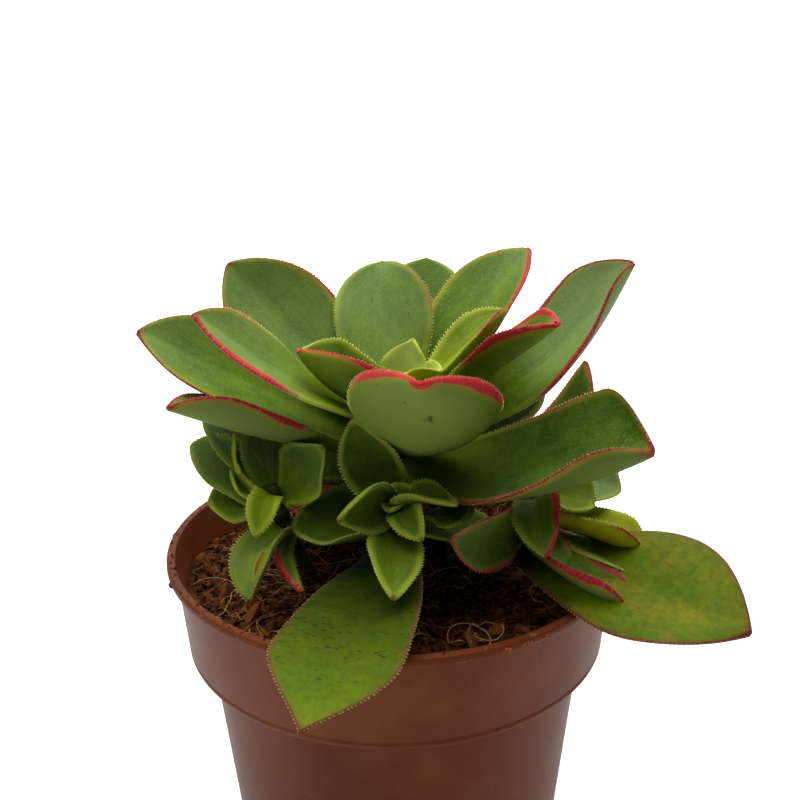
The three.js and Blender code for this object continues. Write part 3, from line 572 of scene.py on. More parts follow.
class Batch:
    """Points, faces and fields of several shapes that end in one mesh."""

    def __init__(self, *fields):
        self.points = []
        self.faces = []
        self.fields = {name: [] for name in fields}
        self.material = []
        self.count = 0

    def add(self, points, faces, material=0, **fields):
        points = np.asarray(points, float)
        self.points.append(points)
        self.faces += [tuple(int(i) + self.count for i in face) for face in faces]
        self.material += [material] * len(faces)
        for name, values in self.fields.items():
            values.append(np.asarray(fields[name], float))
        self.count += len(points)

    def piece(self, name, materials, nodes, smooth=True):
        """Object in metres that rides on the part and stands for its nodes."""
        mesh = bpy.data.meshes.new(name)
        mesh.from_pydata((np.concatenate(self.points) * MM).tolist(), [], self.faces)
        for key, values in self.fields.items():
            values = np.concatenate(values).astype(np.float32)
            kind, place = ("FLOAT_VECTOR", "vector") if values.ndim == 2 else ("FLOAT", "value")
            mesh.attributes.new(key, kind, "POINT").data.foreach_set(place, values.ravel())
        for material in materials:
            mesh.materials.append(material)
        mesh.polygons.foreach_set("material_index", self.material)
        mesh.polygons.foreach_set("use_smooth", [smooth] * len(mesh.polygons))
        mesh.validate()
        made = bpy.data.objects.new(name, mesh)
        bpy.context.scene.collection.objects.link(made)
        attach(made, "root")
        if nodes:
            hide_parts(*nodes)
        return made


def unit(vectors):
    return vectors / np.maximum(np.linalg.norm(vectors, axis=-1, keepdims=True), 1e-12)


def columns(*values):
    """Table with a column for each value; a single number fills its column."""
    return np.stack(np.broadcast_arrays(*values), axis=-1)


def polar(radius, angle, height=0.0):
    """Point about the pot's axis; the angle is in radians."""
    return radius * math.cos(angle), radius * math.sin(angle), height


def ring(radius, height, sides):
    """Points of a level ring about the pot's axis."""
    return [polar(radius, 2 * math.pi * j / sides, height) for j in range(sides)]


def arc(centre, radius, start, end, count=5):
    """Points of a rounded corner in a profile; angles in degrees."""
    angles = np.radians(np.linspace(start, end, count))
    return [(centre[0] + radius * math.cos(a), centre[1] + radius * math.sin(a)) for a in angles]


def bands(rings, around, first=0, flip=False):
    """Quads between rings of points that follow one another from the point first."""
    faces = []
    for low in range(first, first + (rings - 1) * around, around):
        for j in range(around):
            k = (j + 1) % around
            quad = (low + j, low + k, low + around + k, low + around + j)
            faces.append((quad[0], *quad[:0:-1]) if flip else quad)
    return faces


def fan(around, first, apex, flip=False):
    """Triangles from a ring of points to one point."""
    faces = [(first + j, first + (j + 1) % around, apex) for j in range(around)]
    return [face[::-1] for face in faces] if flip else faces


def turned(profile, sides):
    """Points and faces of a closed profile of (radius, height) turned about +Z."""
    points = []
    faces = []
    rings = []
    for radius, height in profile:
        made = [(0, 0, height)] if radius < 1e-6 else ring(radius, height, sides)
        rings.append([len(points) + j % len(made) for j in range(sides)])
        points += made
    for low, high in zip(rings, rings[1:]):
        for j in range(sides):
            k = (j + 1) % sides
            face = tuple(dict.fromkeys((low[j], low[k], high[k], high[j])))
            if len(face) > 2:
                faces.append(face)
    return np.array(points, float), faces


def rod(path, radius, sides=20, steps=40, wobble=0.0, pitch=4.2):
    """Points and faces of a rod along a smooth path, its ends shut, ringed by a wobble of its radius."""
    ends = np.array(path, float)
    knots = np.array([2 * ends[0] - ends[1], *ends, 2 * ends[-1] - ends[-2]])
    t = np.linspace(0, len(ends) - 1 - 1e-6, steps)
    place = t.astype(int)
    u = (t - place)[:, None]
    a, b, c, d = (knots[place + n] for n in range(4))
    line = 0.5 * (2 * b + (c - a) * u + (2 * a - 5 * b + 4 * c - d) * u ** 2
                  + (3 * b - a - 3 * c + d) * u ** 3)
    along = unit(np.gradient(line, axis=0))
    side = unit(np.cross(along, [0.31, 0.95, 0.05]))
    over = np.cross(along, side)
    angle = np.linspace(0, 2 * np.pi, sides, endpoint=False)[:, None]
    around = np.cos(angle) * side[:, None] + np.sin(angle) * over[:, None]
    swell = radius + wobble * (np.cos(2 * np.pi * line[:, 2] / pitch) - 1)
    rings = line[:, None] + swell[:, None, None] * around
    total = steps * sides
    faces = bands(steps, sides) + fan(sides, 0, total, True) + fan(sides, total - sides, total + 1)
    return np.array([*rings.reshape(-1, 3), line[0], line[-1] + along[-1] * 0.1]), faces


def set_leaf(axis, spec, off):
    """Leaf with its root, tip and the point that bends its midrib."""
    off = off if spec.off is None else spec.off
    low, high = (np.array(end, float) for end in AXES[axis])
    level, rise = np.array(polar(1, math.radians(spec.azimuth))), math.radians(spec.rise)
    aim = level * math.cos(rise) + np.array([0, 0, math.sin(rise)])
    span = spec.long - off
    root = low + (high - low) * (spec.at - low[2]) / (high[2] - low[2]) + off * level
    tip = root + aim * span
    side = unit(np.cross([0, 0, 1], aim))
    bend = (root + tip) / 2 + 2 * spec.arch * np.cross(aim, side) + 2 * spec.sweep * side
    return Sizes(**vars(spec), root=root, tip=tip, side=side, bend=bend, span=span)


def half_width(made, s):
    """Half the leaf's width at s, from a narrow neck to a blunt tip."""
    neck, widest = made.neck, made.widest
    swell = neck + (1 - neck) * np.sin(np.pi / 2 * np.minimum(s / widest, 1)) ** 1.5
    close = np.maximum(0, (s - widest) / (1 - widest)) ** 2.1
    return made.wide / 2 * swell * np.maximum(0, 1 - close) ** (FLESH.blunt * made.point)


def middle(made, s, v):
    """Points of the middle surface and the way across it: s from root to tip, v from margin to margin."""
    s, v = np.broadcast_arrays(np.asarray(s, float), np.asarray(v, float))
    t = s[..., None]
    root, bend, tip = made.root, made.bend, made.tip
    point = root * (1 - t) ** 2 + bend * 2 * t * (1 - t) + tip * t ** 2
    along = unit((bend - root) * (1 - t) + (tip - bend) * t)
    side = unit(made.side - (along @ made.side)[..., None] * along)
    turn = np.radians(made.roll + made.twist * t)
    rest = np.cross(along, side)
    across = np.cos(turn) * side + np.sin(turn) * rest
    up = np.cos(turn) * rest - np.sin(turn) * side
    half = half_width(made, s)
    cup = np.radians(made.cup + (made.tip_cup - made.cup) * s ** 1.5)
    crease = math.radians(FLESH.fold)
    bent = crease + cup * np.abs(v)
    out = np.sign(v) * half * (np.sin(bent) - math.sin(crease)) / cup
    lift = half * (math.cos(crease) - np.cos(bent)) / cup
    return point + across * out[..., None] + up * lift[..., None]


def upward(made, s, v):
    """Normals of the middle surface on its upper side."""
    s, v = np.broadcast_arrays(np.asarray(s, float), np.asarray(v, float))
    step = 0.01
    ds = middle(made, np.minimum(s + step, 1), v) - middle(made, np.maximum(s - step, 0), v)
    dv = middle(made, s, np.minimum(v + 0.05, 1)) - middle(made, s, np.maximum(v - 0.05, -1))
    return unit(np.cross(ds, dv))


def ripple(made, s, v, seed):
    """Slow unevenness of a fleshy blade, in millimetres."""
    wave = np.sin(5.1 * s + 1.7 * v + seed) + 0.6 * np.sin(11.3 * s - 2.9 * v + 2.3 * seed)
    margin = np.abs(v) ** 3 * np.sin(17 * s + 1.3 * seed + 2 * np.sign(v))
    return (0.10 * wave + 0.22 * margin) * np.minimum(1, made.wide / 20)


def blade(batch, made, size, number, look):
    """One fleshy leaf with rounded margins and its teeth, added to the batch."""
    s = 1 - (1 - np.arange(size.rows) / size.rows) ** 1.35
    v = np.sin(np.pi / 2 * np.linspace(-1, 1, 2 * size.columns + 1))
    s, v = np.meshgrid(s, v, indexing="ij")
    aside = np.abs(v)
    normal = upward(made, np.minimum(s, NEAR_TIP), v)
    centre = middle(made, s, v) + normal * ripple(made, s, v, number)[..., None]
    rounded = np.sqrt(np.maximum(0, 1 - aside ** 7))
    half = size.thick / 2 * (1 - FLESH.margin * aside ** 2.2) * (1 - FLESH.tip * s ** 3) * rounded
    groove = FLESH.groove * np.exp(-(v / FLESH.groove_wide) ** 2) * (1 - s)

    def closed(above, below):
        """Rows of values that run over the leaf's upper side and back under its lower one."""
        return np.concatenate([above, below[:, -2:0:-1]], axis=1)

    def ends(values, tip, root):
        return np.concatenate([np.ravel(values), [tip, root]])

    points = closed(centre + normal * (half - groove)[..., None], centre - normal * half[..., None])
    beneath = closed(np.zeros_like(v), np.ones_like(v))
    beneath[:, [0, v.shape[1] - 1]] = 0.5
    s, v = closed(s, s), closed(v, v)
    rows, around = v.shape
    total = rows * around
    faces = bands(rows, around, flip=True) + fan(around, total - around, total, True)
    faces += fan(around, 0, total + 1)
    width = half_width(made, s)
    edge = np.minimum((1 - np.abs(v)) * width, 1.1 * (1 - s) * made.span)
    hurt = np.zeros_like(s)
    if made.scar:
        at, aside, reach = made.scar
        away = np.hypot((s - at) * made.span * 0.6, (v - aside) * width * 1.8)
        hurt = np.clip(1.6 - away / reach, 0, 1)
    whole = ends(s, 1, 0)
    red = ends(redness(made, s, v), made.red, 0)
    batch.add([*points.reshape(-1, 3), made.tip, made.root], faces,
              place=columns(ends(v * width, 0, 0), whole * made.span, number),
              form=columns(whole, ends(edge, 0, made.wide), ends(beneath, 0.5, 0.5)),
              **skin_fields(made, whole, red, ends(hurt, 0, 0), 0))
    teeth(batch, made, size, number, look)


def skin_fields(made, s, red, hurt, tooth):
    """Fields of a leaf's colours at s along it, where its margin is that red."""
    tone = np.interp(s, (0.1, 0.5, 1), made.tone)
    return dict(kind=columns(red, made.young, made.old), rim=columns(*red_band(made, s, red), hurt),
                tint=columns(tooth, tone, made.sun))


def redness(made, s, v):
    """How red the margin is: fading towards the root, and stronger on one side."""
    fade = np.clip((s + made.reach - 1) / 0.22, 0, 1)
    return np.clip(made.red * (1 + made.lean * v) * fade, 0, 1)


def red_band(made, s, red):
    """Width of the red margin in millimetres, widest at its crest, and how brown it is."""
    wide = np.where(s > made.crest, 0.14, 0.22)
    swell = 0.25 + 0.75 * np.exp(-((s - made.crest) / wide) ** 2)
    dried = made.brown and np.clip((s - 0.8) / 0.25, 0, 1) * 0.7
    return made.band * swell * (0.4 + 0.6 * red), np.clip(made.brown + dried + 0 * s, 0, 1)


def teeth(batch, made, size, number, look):
    """Fine teeth that point outwards and a little forwards along both margins."""
    draw = random.Random(1000 + number)
    pitch = look.tooth_pitch / MM * size.pitch
    reach = look.tooth_length / MM * size.teeth * made.teeth
    base = TOOTH.base * pitch
    fine = np.linspace(TOOTH.start, TOOTH.end, 400)
    sides = [(0, 1, 4), (1, 2, 4), (2, 3, 4), (3, 0, 4), (3, 2, 1, 0)]
    for v in (-1.0, 1.0):
        line = middle(made, fine, v)
        run = np.concatenate([[0], np.cumsum(np.linalg.norm(np.diff(line, axis=0), axis=1))])
        stops = np.arange(0.5 * pitch, run[-1], pitch)
        stops = stops + [draw.uniform(-TOOTH.scatter, TOOTH.scatter) * pitch for _ in stops]
        s = np.interp(stops, run, fine)
        foot = middle(made, s, v)
        out = unit(foot - middle(made, s, v * 0.9))
        ahead = unit(middle(made, np.minimum(s + 0.01, 1), v) - middle(made, s - 0.01, v))
        up = upward(made, np.minimum(s, NEAR_TIP), v)
        foot = foot + up * ripple(made, s, np.full_like(s, v), number)[:, None]
        long = reach * np.array([[draw.uniform(TOOTH.least, TOOTH.most)] for _ in stops])
        back = foot - out * TOOTH.root
        corners = [back - ahead * base, back + up * base * 0.7, back + ahead * base,
                   back - up * base * 0.7, foot + out * long * 0.9 + ahead * long * 0.45]
        faces = [[5 * i + c for c in side[::-int(v)]] for i in range(len(s)) for side in sides]
        s = np.repeat(s, 5)
        tooth = np.tile((0.1, 0.1, 0.1, 0.1, 1), len(stops))
        batch.add(np.stack(corners, axis=1).reshape(-1, 3), faces,
                  place=columns(v * half_width(made, s), s * made.span, number), form=columns(s, 0, 0.5),
                  **skin_fields(made, s, redness(made, s, v), 0, tooth))


def plain_fields(count, young=0.5, number=0):
    """Leaf fields for a stem that shares a leaf's mesh."""
    # The tint's tone of -0.3 paints a little shade on the tip that shares the leaf material
    fields = dict(place=(0, 0, number), form=(0.5, 9, 0.5), kind=(0, young, 0), rim=(0.45, 0, 0),
                  tint=(0, -0.3, 0))
    return {name: np.tile(values, (count, 1)) for name, values in fields.items()}


def soil_height(x, y):
    broad = math.sin(0.13 * x + 1.1) * math.cos(0.11 * y - 0.4)
    fine = math.sin(0.31 * x - 0.27 * y + 0.6) * math.cos(0.24 * x + 0.29 * y)
    return SOIL.height + SOIL.slope * y + SOIL.lump * (broad + fine)


# Sizes and colours that a user would change

def colour(name, description, red, green, blue):
    return bpy.props.FloatVectorProperty(
        name=name, description=description, subtype="COLOR", size=4, min=0, max=1,
        default=srgb(red, green, blue))


def distance(name, description, default, least):
    return bpy.props.FloatProperty(
        name=name, description=description, subtype="DISTANCE", unit="LENGTH", min=least, default=default,
        precision=5)


def count(name, description, default):
    return bpy.props.IntProperty(name=name, description=description, min=0, default=default)


class AeoniumLook(bpy.types.PropertyGroup):
    """Sizes and colours of the plant, its soil, its pot and the studio."""

    green: colour("Leaf green", "Upper side of a grown leaf", 82, 110, 14)
    green_deep: colour("Deep green", "Darker patches of a leaf", 54, 84, 4)
    green_pale: colour("Pale grains", "Pale grains and lines on a leaf", 116, 137, 78)
    green_young: colour("Young green", "Young leaves and the roots of grown ones", 128, 152, 0)
    # Painted shade, laid on where a leaf's tone is below 0
    green_shade: colour("Shaded green", "Darkest parts of a leaf", 16, 34, 0)
    # Painted light that brightens leaves, mostly their undersides
    green_sun: colour("Sunlit green", "Leaves that the light has yellowed", 216, 208, 10)
    # The leaf's greyish bloom, with painted sheen and light where a leaf's tone is above 0
    green_frost: colour("Frosted green", "Greyer, paler parts of a leaf", 132, 152, 104)
    underside: colour("Underside", "Lower side of a grown leaf", 104, 120, 64)
    old_green: colour("Old leaf green", "Greener parts of the hanging leaves", 98, 124, 4)
    old_olive: colour("Old leaf olive", "Duller parts of the hanging leaves", 138, 128, 14)
    margin_yellow: colour("Yellow margin", "Margin of leaves that grew in the shade", 176, 188, 60)
    margin_blush: colour("Blush", "Skin beside a red margin", 160, 120, 40)
    margin_red: colour("Red margin", "Margin of leaves that grew in the light", 180, 38, 44)
    margin_pink: colour("Pink margin", "Thin margin on a leaf's paler side", 166, 92, 74)
    margin_brown: colour("Brown margin", "Margin that the sun has dried", 112, 48, 36)
    margin_dry: colour("Dry margin", "Dried margin of old leaves", 108, 62, 40)
    tooth_pale: colour("Pale teeth", "Teeth on a yellow margin", 196, 202, 132)
    tooth_red: colour("Red teeth", "Teeth on a red margin", 200, 110, 98)
    speck: colour("Specks", "Small dark marks on the leaves", 34, 38, 14)
    bark_dark: colour("Stem shade", "Darker skin of the stems", 40, 42, 12)
    bark_pale: colour("Stem skin", "Paler skin of the stems", 84, 92, 30)
    pot_brown: colour("Pot brown", "Plastic of the pot", 98, 46, 20)
    pot_dark: colour("Pot shade", "Darker flow marks in the plastic", 86, 39, 16)
    pot_pale: colour("Pot scuffs", "Paler clouds and scuffs on the pot", 126, 76, 50)
    pot_torn: colour("Torn edge", "Shavings of plastic under the lip", 168, 88, 48)
    pot_dust: colour("Pot dust", "Soil dust near the lip", 150, 122, 92)
    soil_dark: colour("Dark soil", "Damp crumbs", 26, 14, 5)
    soil_warm: colour("Warm soil", "Coir crumbs", 96, 52, 20)
    soil_pale: colour("Pale soil", "Dry fibres and the paler crumbs", 140, 86, 38)
    fibre: colour("Fibres", "Dry coir fibres", 196, 164, 110)
    paper: colour("Studio paper", "Floor and backdrop", 246, 246, 245)
    tooth_length: distance("Tooth length", "Reach of the teeth of a large leaf", 0.62 * MM, 0)
    tooth_pitch: distance("Tooth pitch", "Distance between teeth of a large leaf", 0.84 * MM, 0.3 * MM)
    crumbs: count("Soil crumbs", "Loose crumbs on the soil", 4500)
    fibres: count("Fibres", "Dry fibres on the soil", 130)
    seed: count("Seed", "Draw of crumbs and fibres", 5)


# Pieces

def large_leaves(look, leaves, prefix, first):
    """One piece for each leaf; first is the first one's number."""
    for number, (name, spec) in enumerate(leaves.items(), first):
        batch = Batch(*LEAF_FIELDS)
        blade(batch, set_leaf(spec.axis, spec, OFF.main), LARGE, number, look)
        batch.piece(f"{prefix}_{name}_skin", [once(leaf_skin, look)], [f"{prefix}_{name}"])


def rough_lump(draw, size, flat=1.0, long=1.0):
    """Small angular crumb: points and faces of a knocked-about octahedron with split sides."""
    base = np.array([(1, 0, 0), (-1, 0, 0), (0, 1, 0), (0, -1, 0), (0, 0, 1), (0, 0, -1)], float)
    faces = [(0, 2, 4), (2, 1, 4), (1, 3, 4), (3, 0, 4), (2, 0, 5), (1, 2, 5), (3, 1, 5), (0, 3, 5)]
    points = [*base]
    split = {}
    fine = []
    for face in faces:
        mids = []
        for a, b in zip(face, face[1:] + face[:1]):
            key = (min(a, b), max(a, b))
            if key not in split:
                split[key] = len(points)
                points.append((base[a] + base[b]) * 0.66)
            mids.append(split[key])
        fine += [(face[0], mids[0], mids[2]), (face[1], mids[1], mids[0]), (face[2], mids[2], mids[1]),
                 tuple(mids)]
    points = np.array(points) * [[draw.uniform(0.7, 1.25)] for _ in points]
    stretch = [draw.uniform(0.7, 1.5) * long, draw.uniform(0.6, 1.1), draw.uniform(0.5, 0.9) * flat]
    turn = Matrix.Rotation(draw.uniform(0, 6.28), 3, Vector((draw.gauss(0, 1), draw.gauss(0, 1), 1)))
    return (points * stretch * size) @ np.array(turn).T, fine


class AEONIUM_OT_pot(bpy.types.Operator):
    """Build the nursery pot with its rolled lip, band, drain holes, flecks of flash and shavings"""

    bl_idname = "aeonium.pot"
    bl_label = "Pot"

    def execute(self, context):
        look = context.scene.aeonium_look
        batch = Batch()
        batch.add(*turned(self.profile(), 160))
        shell = batch.piece("pot_shell", [pot_plastic(look)], ["pot"])
        self.drill(shell)
        flecks = Batch()
        for azimuth in FLASH.azimuths:
            flecks.add(*self.fleck(math.radians(azimuth)))
        draw = random.Random(look.seed)
        for azimuth, spread in SCRAPS:
            for _ in range(SCRAP.each):
                a = math.radians(azimuth + draw.gauss(0, spread))
                size = draw.uniform(SCRAP.least, SCRAP.most)
                points, faces = rough_lump(draw, size, SCRAP.flat, SCRAP.long)
                high = POT.height - FLASH.tall + draw.uniform(-0.4, 0.5)
                flecks.add(points + polar(POT.lip, a, high), faces, 1)
        torn = pot_plastic(look, "pot_torn_edge", 0.65)
        flecks.piece("pot_flash", [shell.data.materials[0], torn], [])
        return {"FINISHED"}

    def profile(self):
        """Outline of the pot's wall: up its outside, over the lip and down its inside."""
        p = POT
        under = p.height - p.lip_tall
        return [
            (0, 0.02), (p.foot - 1.2, 0), *arc((p.foot - 0.8, 0.8), 0.8, -80, -8),
            (p.shoulder - 0.02, LEDGE - 0.6), (p.shoulder + 0.12, LEDGE - 0.12), (p.shoulder + 0.5, LEDGE),
            *arc((p.band_foot - 1.4, LEDGE + 1.4), 1.4, -88, -4, 8),
            (p.band_foot + 0.03, LEDGE + 1.75), (p.band_foot - 0.12, LEDGE + 2.0),
            (p.band_foot + 0.06, LEDGE + 2.3), (p.band_top - 0.05, under - 0.5),
            (p.band_top + 0.25, under - 0.12), (p.band_top + 0.7, under),
            *arc((p.lip - 0.5, under + 0.5), 0.5, -85, 0),
            *arc((p.lip - 0.6, p.height - 0.6), 0.6, 0, 88, 6),
            *arc((p.mouth + 0.5, p.height - 0.5), 0.5, 92, 180),
            (p.band_top - p.wall, under - 0.2), (p.band_foot - p.wall, LEDGE + 1.6),
            (p.shoulder - p.wall, LEDGE + p.wall), (p.foot - p.wall, p.floor), (0, p.floor),
        ]

    def drill(self, shell):
        """Cuts the drain holes through the pot's floor."""
        drills = Batch()
        for at in ring(POT.drain_circle, 0, POT.drains):
            points, faces = turned([(0, -5), (POT.drain_radius, -5), (POT.drain_radius, 6), (0, 6)], 32)
            drills.add(points + at, faces)
        tool = drills.piece("drain_drill", [], [])
        cut = shell.modifiers.new("drain", "BOOLEAN")
        cut.object = tool
        cut.operation = "DIFFERENCE"
        cut.solver = "EXACT"
        graph = bpy.context.evaluated_depsgraph_get()
        drilled = bpy.data.meshes.new_from_object(shell.evaluated_get(graph))
        shell.modifiers.clear()
        shell.data = drilled
        bpy.data.objects.remove(tool)

    def fleck(self, azimuth):
        """Small soft-cornered fleck of plastic on the lip."""
        points, faces = turned([(math.sin(t), math.cos(t)) for t in np.linspace(0, math.pi, 8)], 12)
        points = points[:, [0, 2, 1]] * [FLASH.reach, FLASH.wide / 2, FLASH.tall / 2]
        turn = np.array(Matrix.Rotation(azimuth, 3, "Z"))
        return (points + [POT.lip, 0, POT.height - FLASH.tall]) @ turn.T, faces


class AEONIUM_OT_soil(bpy.types.Operator):
    """Fill the pot with soil and strew it with crumbs, bark and dry fibres"""

    bl_idname = "aeonium.soil"
    bl_label = "Soil"

    def execute(self, context):
        look = context.scene.aeonium_look
        draw = random.Random(look.seed)
        earth = soil_crumb(look, "soil_crumb", "soil_dark", "soil_warm", "soil_pale")
        strand = soil_crumb(look, "soil_fibre", "soil_pale", "fibre", "fibre")
        batch = Batch("tone")
        self.bed(batch)
        for _ in range(look.crumbs):
            self.crumb(batch, draw)
        for x, y, size, long, tone in CHUNKS:
            self.lay(batch, rough_lump(draw, size, 0.7, long), [x, y, soil_height(x, y) + size * 0.35], tone)
        for _ in range(SPECK.count):
            self.speck(batch, draw)
        batch.piece("soil_bed", [earth], ["soil"], smooth=False)
        fibres = Batch("tone")
        for _ in range(look.fibres):
            self.fibre(fibres, draw)
        fibres.piece("soil_fibres", [strand], [])
        return {"FINISHED"}

    def reach(self):
        """Radius of the soil's top inside the pot's sloping wall."""
        share = (SOIL.height - LEDGE) / POT.band_tall
        return POT.band_foot - POT.wall - GAP + (POT.band_top - POT.band_foot) * share

    def spot(self, draw, margin):
        """Random place on the soil."""
        radius = (self.reach() - margin) * math.sqrt(draw.random())
        return polar(radius, draw.uniform(0, 2 * math.pi))[:2]

    def lay(self, batch, shape, at, tone):
        """Adds a small shape at a place, in one tone."""
        points, faces = shape
        batch.add(points + at, faces, tone=np.full(len(points), tone))

    def bed(self, batch):
        """Closed body of soil with a crumbled top."""
        sides, rings, reach = SOIL.sides, SOIL.rings, self.reach()
        points = [(0, 0, soil_height(0, 0))]
        tones = [0.3]
        for i in range(1, rings + 1):
            for x, y, _ in ring(reach * i / rings, 0, sides):
                grit = noise.fractal(Vector((x * 0.35, y * 0.35, 3.1)), 0.6, 2.1, 5)
                lump = 0 if i == rings else SOIL.grit * grit
                points.append((x, y, soil_height(x, y) - SOIL.sunk + lump))
                tones.append(0.5 + 0.5 * grit)
        inner, ledge = POT.wall + GAP, LEDGE + POT.wall + GAP
        points += ring(POT.band_foot - inner, ledge, sides) + ring(POT.shoulder - inner, ledge, sides)
        points += [*ring(POT.foot - inner, POT.floor + GAP, sides), (0, 0, POT.floor + GAP)]
        tones += [0.2] * (len(points) - len(tones))
        last = len(points) - 1
        faces = fan(sides, 1, 0) + bands(rings + 3, sides, 1, True) + fan(sides, last - sides, last, True)
        batch.add(points, faces, tone=np.clip(tones, 0, 1))

    def crumb(self, batch, draw):
        """Loose crumb on the soil; small ones are many."""
        size = min(CRUMB.least + draw.expovariate(CRUMB.rate), CRUMB.most)
        x, y = self.spot(draw, size + 0.6)
        lump = rough_lump(draw, size, CRUMB.flat, draw.choice(CRUMB.long))
        lift = size * draw.uniform(0.0, 0.45) - CRUMB.sunk
        self.lay(batch, lump, [x, y, soil_height(x, y) + lift], draw.random() ** 1.6)

    def speck(self, batch, draw):
        """Speck of soil on the lip, mostly on its left and front."""
        size = draw.uniform(SPECK.least, SPECK.most)
        angle = math.radians(draw.gauss(SPECK.azimuth, SPECK.spread))
        radius = draw.uniform(POT.mouth + 0.3, POT.lip - 0.4)
        lump = rough_lump(draw, size, CRUMB.flat)
        self.lay(batch, lump, polar(radius, angle, POT.height + size * 0.2), draw.random())

    def fibre(self, batch, draw):
        """Thin dry fibre that lies curled on the crumbs, more often on the left."""
        left = draw.random() < FIBRE.left
        x, y = self.spot(draw, 3)
        if left:
            x, y = -abs(x), min(y, draw.uniform(-35, 10))
        heading = draw.uniform(0, 2 * math.pi)
        curl = draw.gauss(0, FIBRE.curl)
        path = []
        for i in range(draw.randint(*FIBRE.points)):
            lift = 0.7 + 0.5 * math.sin(0.9 * i + x)
            if math.hypot(x, y) > self.reach() - 0.8:
                break
            path.append((x, y, soil_height(x, y) + lift))
            heading += curl + draw.gauss(0, FIBRE.wander)
            x += FIBRE.step * math.cos(heading)
            y += FIBRE.step * math.sin(heading)
        if len(path) >= FIBRE.fewest:
            strand = rod(path, draw.uniform(*FIBRE.radius), 5, 3 * len(path))
            self.lay(batch, strand, 0, draw.uniform(0.3, 1))


class AEONIUM_OT_main_stem(bpy.types.Operator):
    """Build the main stem with its ringed leaf scars"""

    bl_idname = "aeonium.main_stem"
    bl_label = "Main stem"

    def execute(self, context):
        look = context.scene.aeonium_look
        path, radius = STEMS["main"]
        batch = Batch()
        batch.add(*rod(path, radius, 28, 90, 0.35))
        batch.piece("main_stem_bark", [once(stem_bark, look)], ["main_stem"])
        return {"FINISHED"}


class AEONIUM_OT_bud(bpy.types.Operator):
    """Build the growing tip with its young leaves"""

    bl_idname = "aeonium.bud"
    bl_label = "Growing tip"

    def execute(self, context):
        look = context.scene.aeonium_look
        batch = Batch(*LEAF_FIELDS)
        for number, spec in enumerate(BUD_LEAVES, FIRST.bud):
            blade(batch, set_leaf("main", spec, OFF.bud), TINY, number, look)
        foot, top, radius = TIP.foot, TIP.top, TIP.radius
        profile = [(0, foot), (radius, foot), (radius, (foot + top) / 2), (radius * 0.6, top - 0.5), (0, top)]
        points, faces = turned(profile, 24)
        x, y, _ = AXES["main"][0]
        batch.add(points + [x, y, 0], faces, **plain_fields(len(points), 1, FIRST.tip))
        batch.piece("bud_skin", [once(leaf_skin, look)], ["bud"])
        return {"FINISHED"}


class AEONIUM_OT_main_leaves(bpy.types.Operator):
    """Build the large leaves of the main rosette"""

    bl_idname = "aeonium.main_leaves"
    bl_label = "Main leaves"

    def execute(self, context):
        look = context.scene.aeonium_look
        large_leaves(look, MAIN_LEAVES, "leaf", FIRST.main)
        return {"FINISHED"}


class AEONIUM_OT_hanging_leaves(bpy.types.Operator):
    """Build the two old leaves that lie out over the lip"""

    bl_idname = "aeonium.hanging_leaves"
    bl_label = "Hanging leaves"

    def execute(self, context):
        look = context.scene.aeonium_look
        large_leaves(look, HANGING_LEAVES, "leaf_hanging", FIRST.hanging)
        return {"FINISHED"}


class AEONIUM_OT_offsets(bpy.types.Operator):
    """Build the small rosettes on their short stems"""

    bl_idname = "aeonium.offsets"
    bl_label = "Offsets"

    def execute(self, context):
        look = context.scene.aeonium_look
        for order, (name, specs) in enumerate(OFFSET_LEAVES.items()):
            batch = Batch(*LEAF_FIELDS)
            path, radius = STEMS[name]
            points, faces = rod(path, radius)
            batch.add(points, faces, 1, **plain_fields(len(points)))
            for number, spec in enumerate(specs, FIRST.offset + OFFSET_STEP * order):
                size = TINY if spec.long < TINY_LENGTH else SMALL
                blade(batch, set_leaf(name, spec, OFF.offset), size, number, look)
            materials = [once(leaf_skin, look), once(stem_bark, look)]
            batch.piece(f"offset_{name}_skin", materials, [f"offset_{name}"])
        return {"FINISHED"}


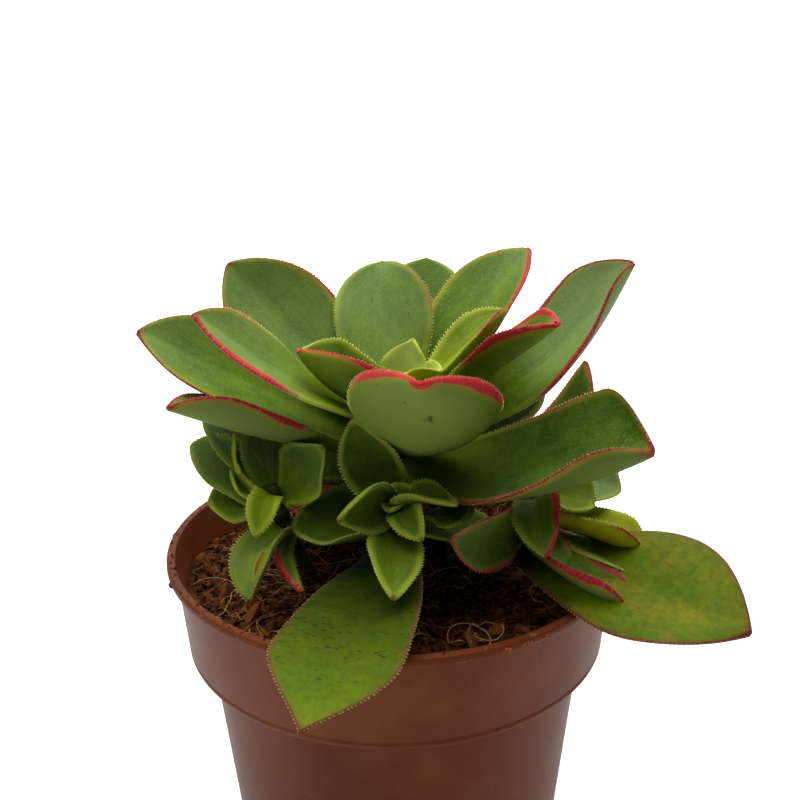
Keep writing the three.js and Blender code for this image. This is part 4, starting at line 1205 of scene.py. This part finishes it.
class AEONIUM_OT_studio(bpy.types.Operator):
    """Set the pale floor, the soft lights and the camera"""

    bl_idname = "aeonium.studio"
    bl_label = "Studio"

    def execute(self, context):
        scene = context.scene
        self.paper(scene)
        world = bpy.data.worlds.new("studio_air")
        world.use_nodes = True
        air = world.node_tree.nodes["Background"]
        air.inputs["Color"].default_value = (1, 1, 1, 1)
        air.inputs["Strength"].default_value = AIR_LIGHT
        scene.world = world
        scene.view_settings.view_transform = "Standard"
        for name, (place, target, size, power) in LAMPS.items():
            self.lamp(scene, name, place, target, size, power)
        self.camera(scene)
        return {"FINISHED"}

    def paper(self, scene):
        """Floor that sweeps up into a backdrop."""
        p = SWEEP
        bow = arc((p.depth, p.radius), p.radius, -90, 0, 12)
        line = [(p.front, 0), *bow, (p.depth + p.radius, p.wall)]
        points = [(x, y, z) for x in (-p.half, p.half) for y, z in line]
        total = len(line)
        faces = [(i, i + total, i + total + 1, i + 1) for i in range(total - 1)]
        mesh = bpy.data.meshes.new("studio_sweep")
        mesh.from_pydata(points, [], faces)
        mesh.polygons.foreach_set("use_smooth", [True] * len(faces))
        mesh.materials.append(studio_paper(scene.aeonium_look))
        sweep = bpy.data.objects.new("studio_sweep", mesh)
        scene.collection.objects.link(sweep)

    def lamp(self, scene, name, place, target, size, power):
        """Round soft lamp that faces its target."""
        data = bpy.data.lights.new(name, "AREA")
        data.shape = "DISK"
        data.size = size
        data.energy = power
        made = bpy.data.objects.new(name, data)
        made.location = place
        made.rotation_euler = (Vector(target) - Vector(place)).to_track_quat("-Z", "Y").to_euler()
        scene.collection.objects.link(made)

    def camera(self, scene):
        """Camera at the photograph's place."""
        data = bpy.data.cameras.new("camera")
        data.sensor_width = CAMERA.sensor
        data.lens = CAMERA.lens
        data.clip_start = CAMERA.nearest
        data.dof.use_dof = False
        made = bpy.data.objects.new("camera", data)
        forward = Vector(CAMERA.forward).normalized()
        up = Vector(CAMERA.right).cross(forward).normalized()
        right = forward.cross(up)
        turn = Matrix((right, up, -forward)).transposed().to_4x4()
        made.matrix_world = Matrix.Translation(CAMERA.place) @ turn
        scene.collection.objects.link(made)
        scene.camera = made


class AEONIUM_PT_panel(bpy.types.Panel):
    """Lists the pieces of the potted aeonium in the sidebar"""

    bl_label = "Potted aeonium"
    bl_idname = "AEONIUM_PT_panel"
    bl_space_type = "VIEW_3D"
    bl_region_type = "UI"
    bl_category = "Aeonium"

    def draw(self, context):
        column = self.layout.column()
        for operator in OPERATORS:
            column.operator(operator.bl_idname)
        look = context.scene.aeonium_look
        for name in AeoniumLook.__annotations__:
            column.prop(look, name)


OPERATORS = (
    AEONIUM_OT_studio, AEONIUM_OT_pot, AEONIUM_OT_soil, AEONIUM_OT_main_stem, AEONIUM_OT_bud,
    AEONIUM_OT_main_leaves, AEONIUM_OT_offsets, AEONIUM_OT_hanging_leaves,
)
CLASSES = (AeoniumLook, *OPERATORS, AEONIUM_PT_panel)


def register():
    for made in CLASSES:
        bpy.utils.register_class(made)
    bpy.types.Scene.aeonium_look = bpy.props.PointerProperty(type=AeoniumLook)


def unregister():
    del bpy.types.Scene.aeonium_look
    for made in reversed(CLASSES):
        bpy.utils.unregister_class(made)


def main():
    register()
    for operator in OPERATORS:
        _, name = operator.bl_idname.split(".")
        getattr(bpy.ops.aeonium, name)()


if __name__ == "__main__":
    main()
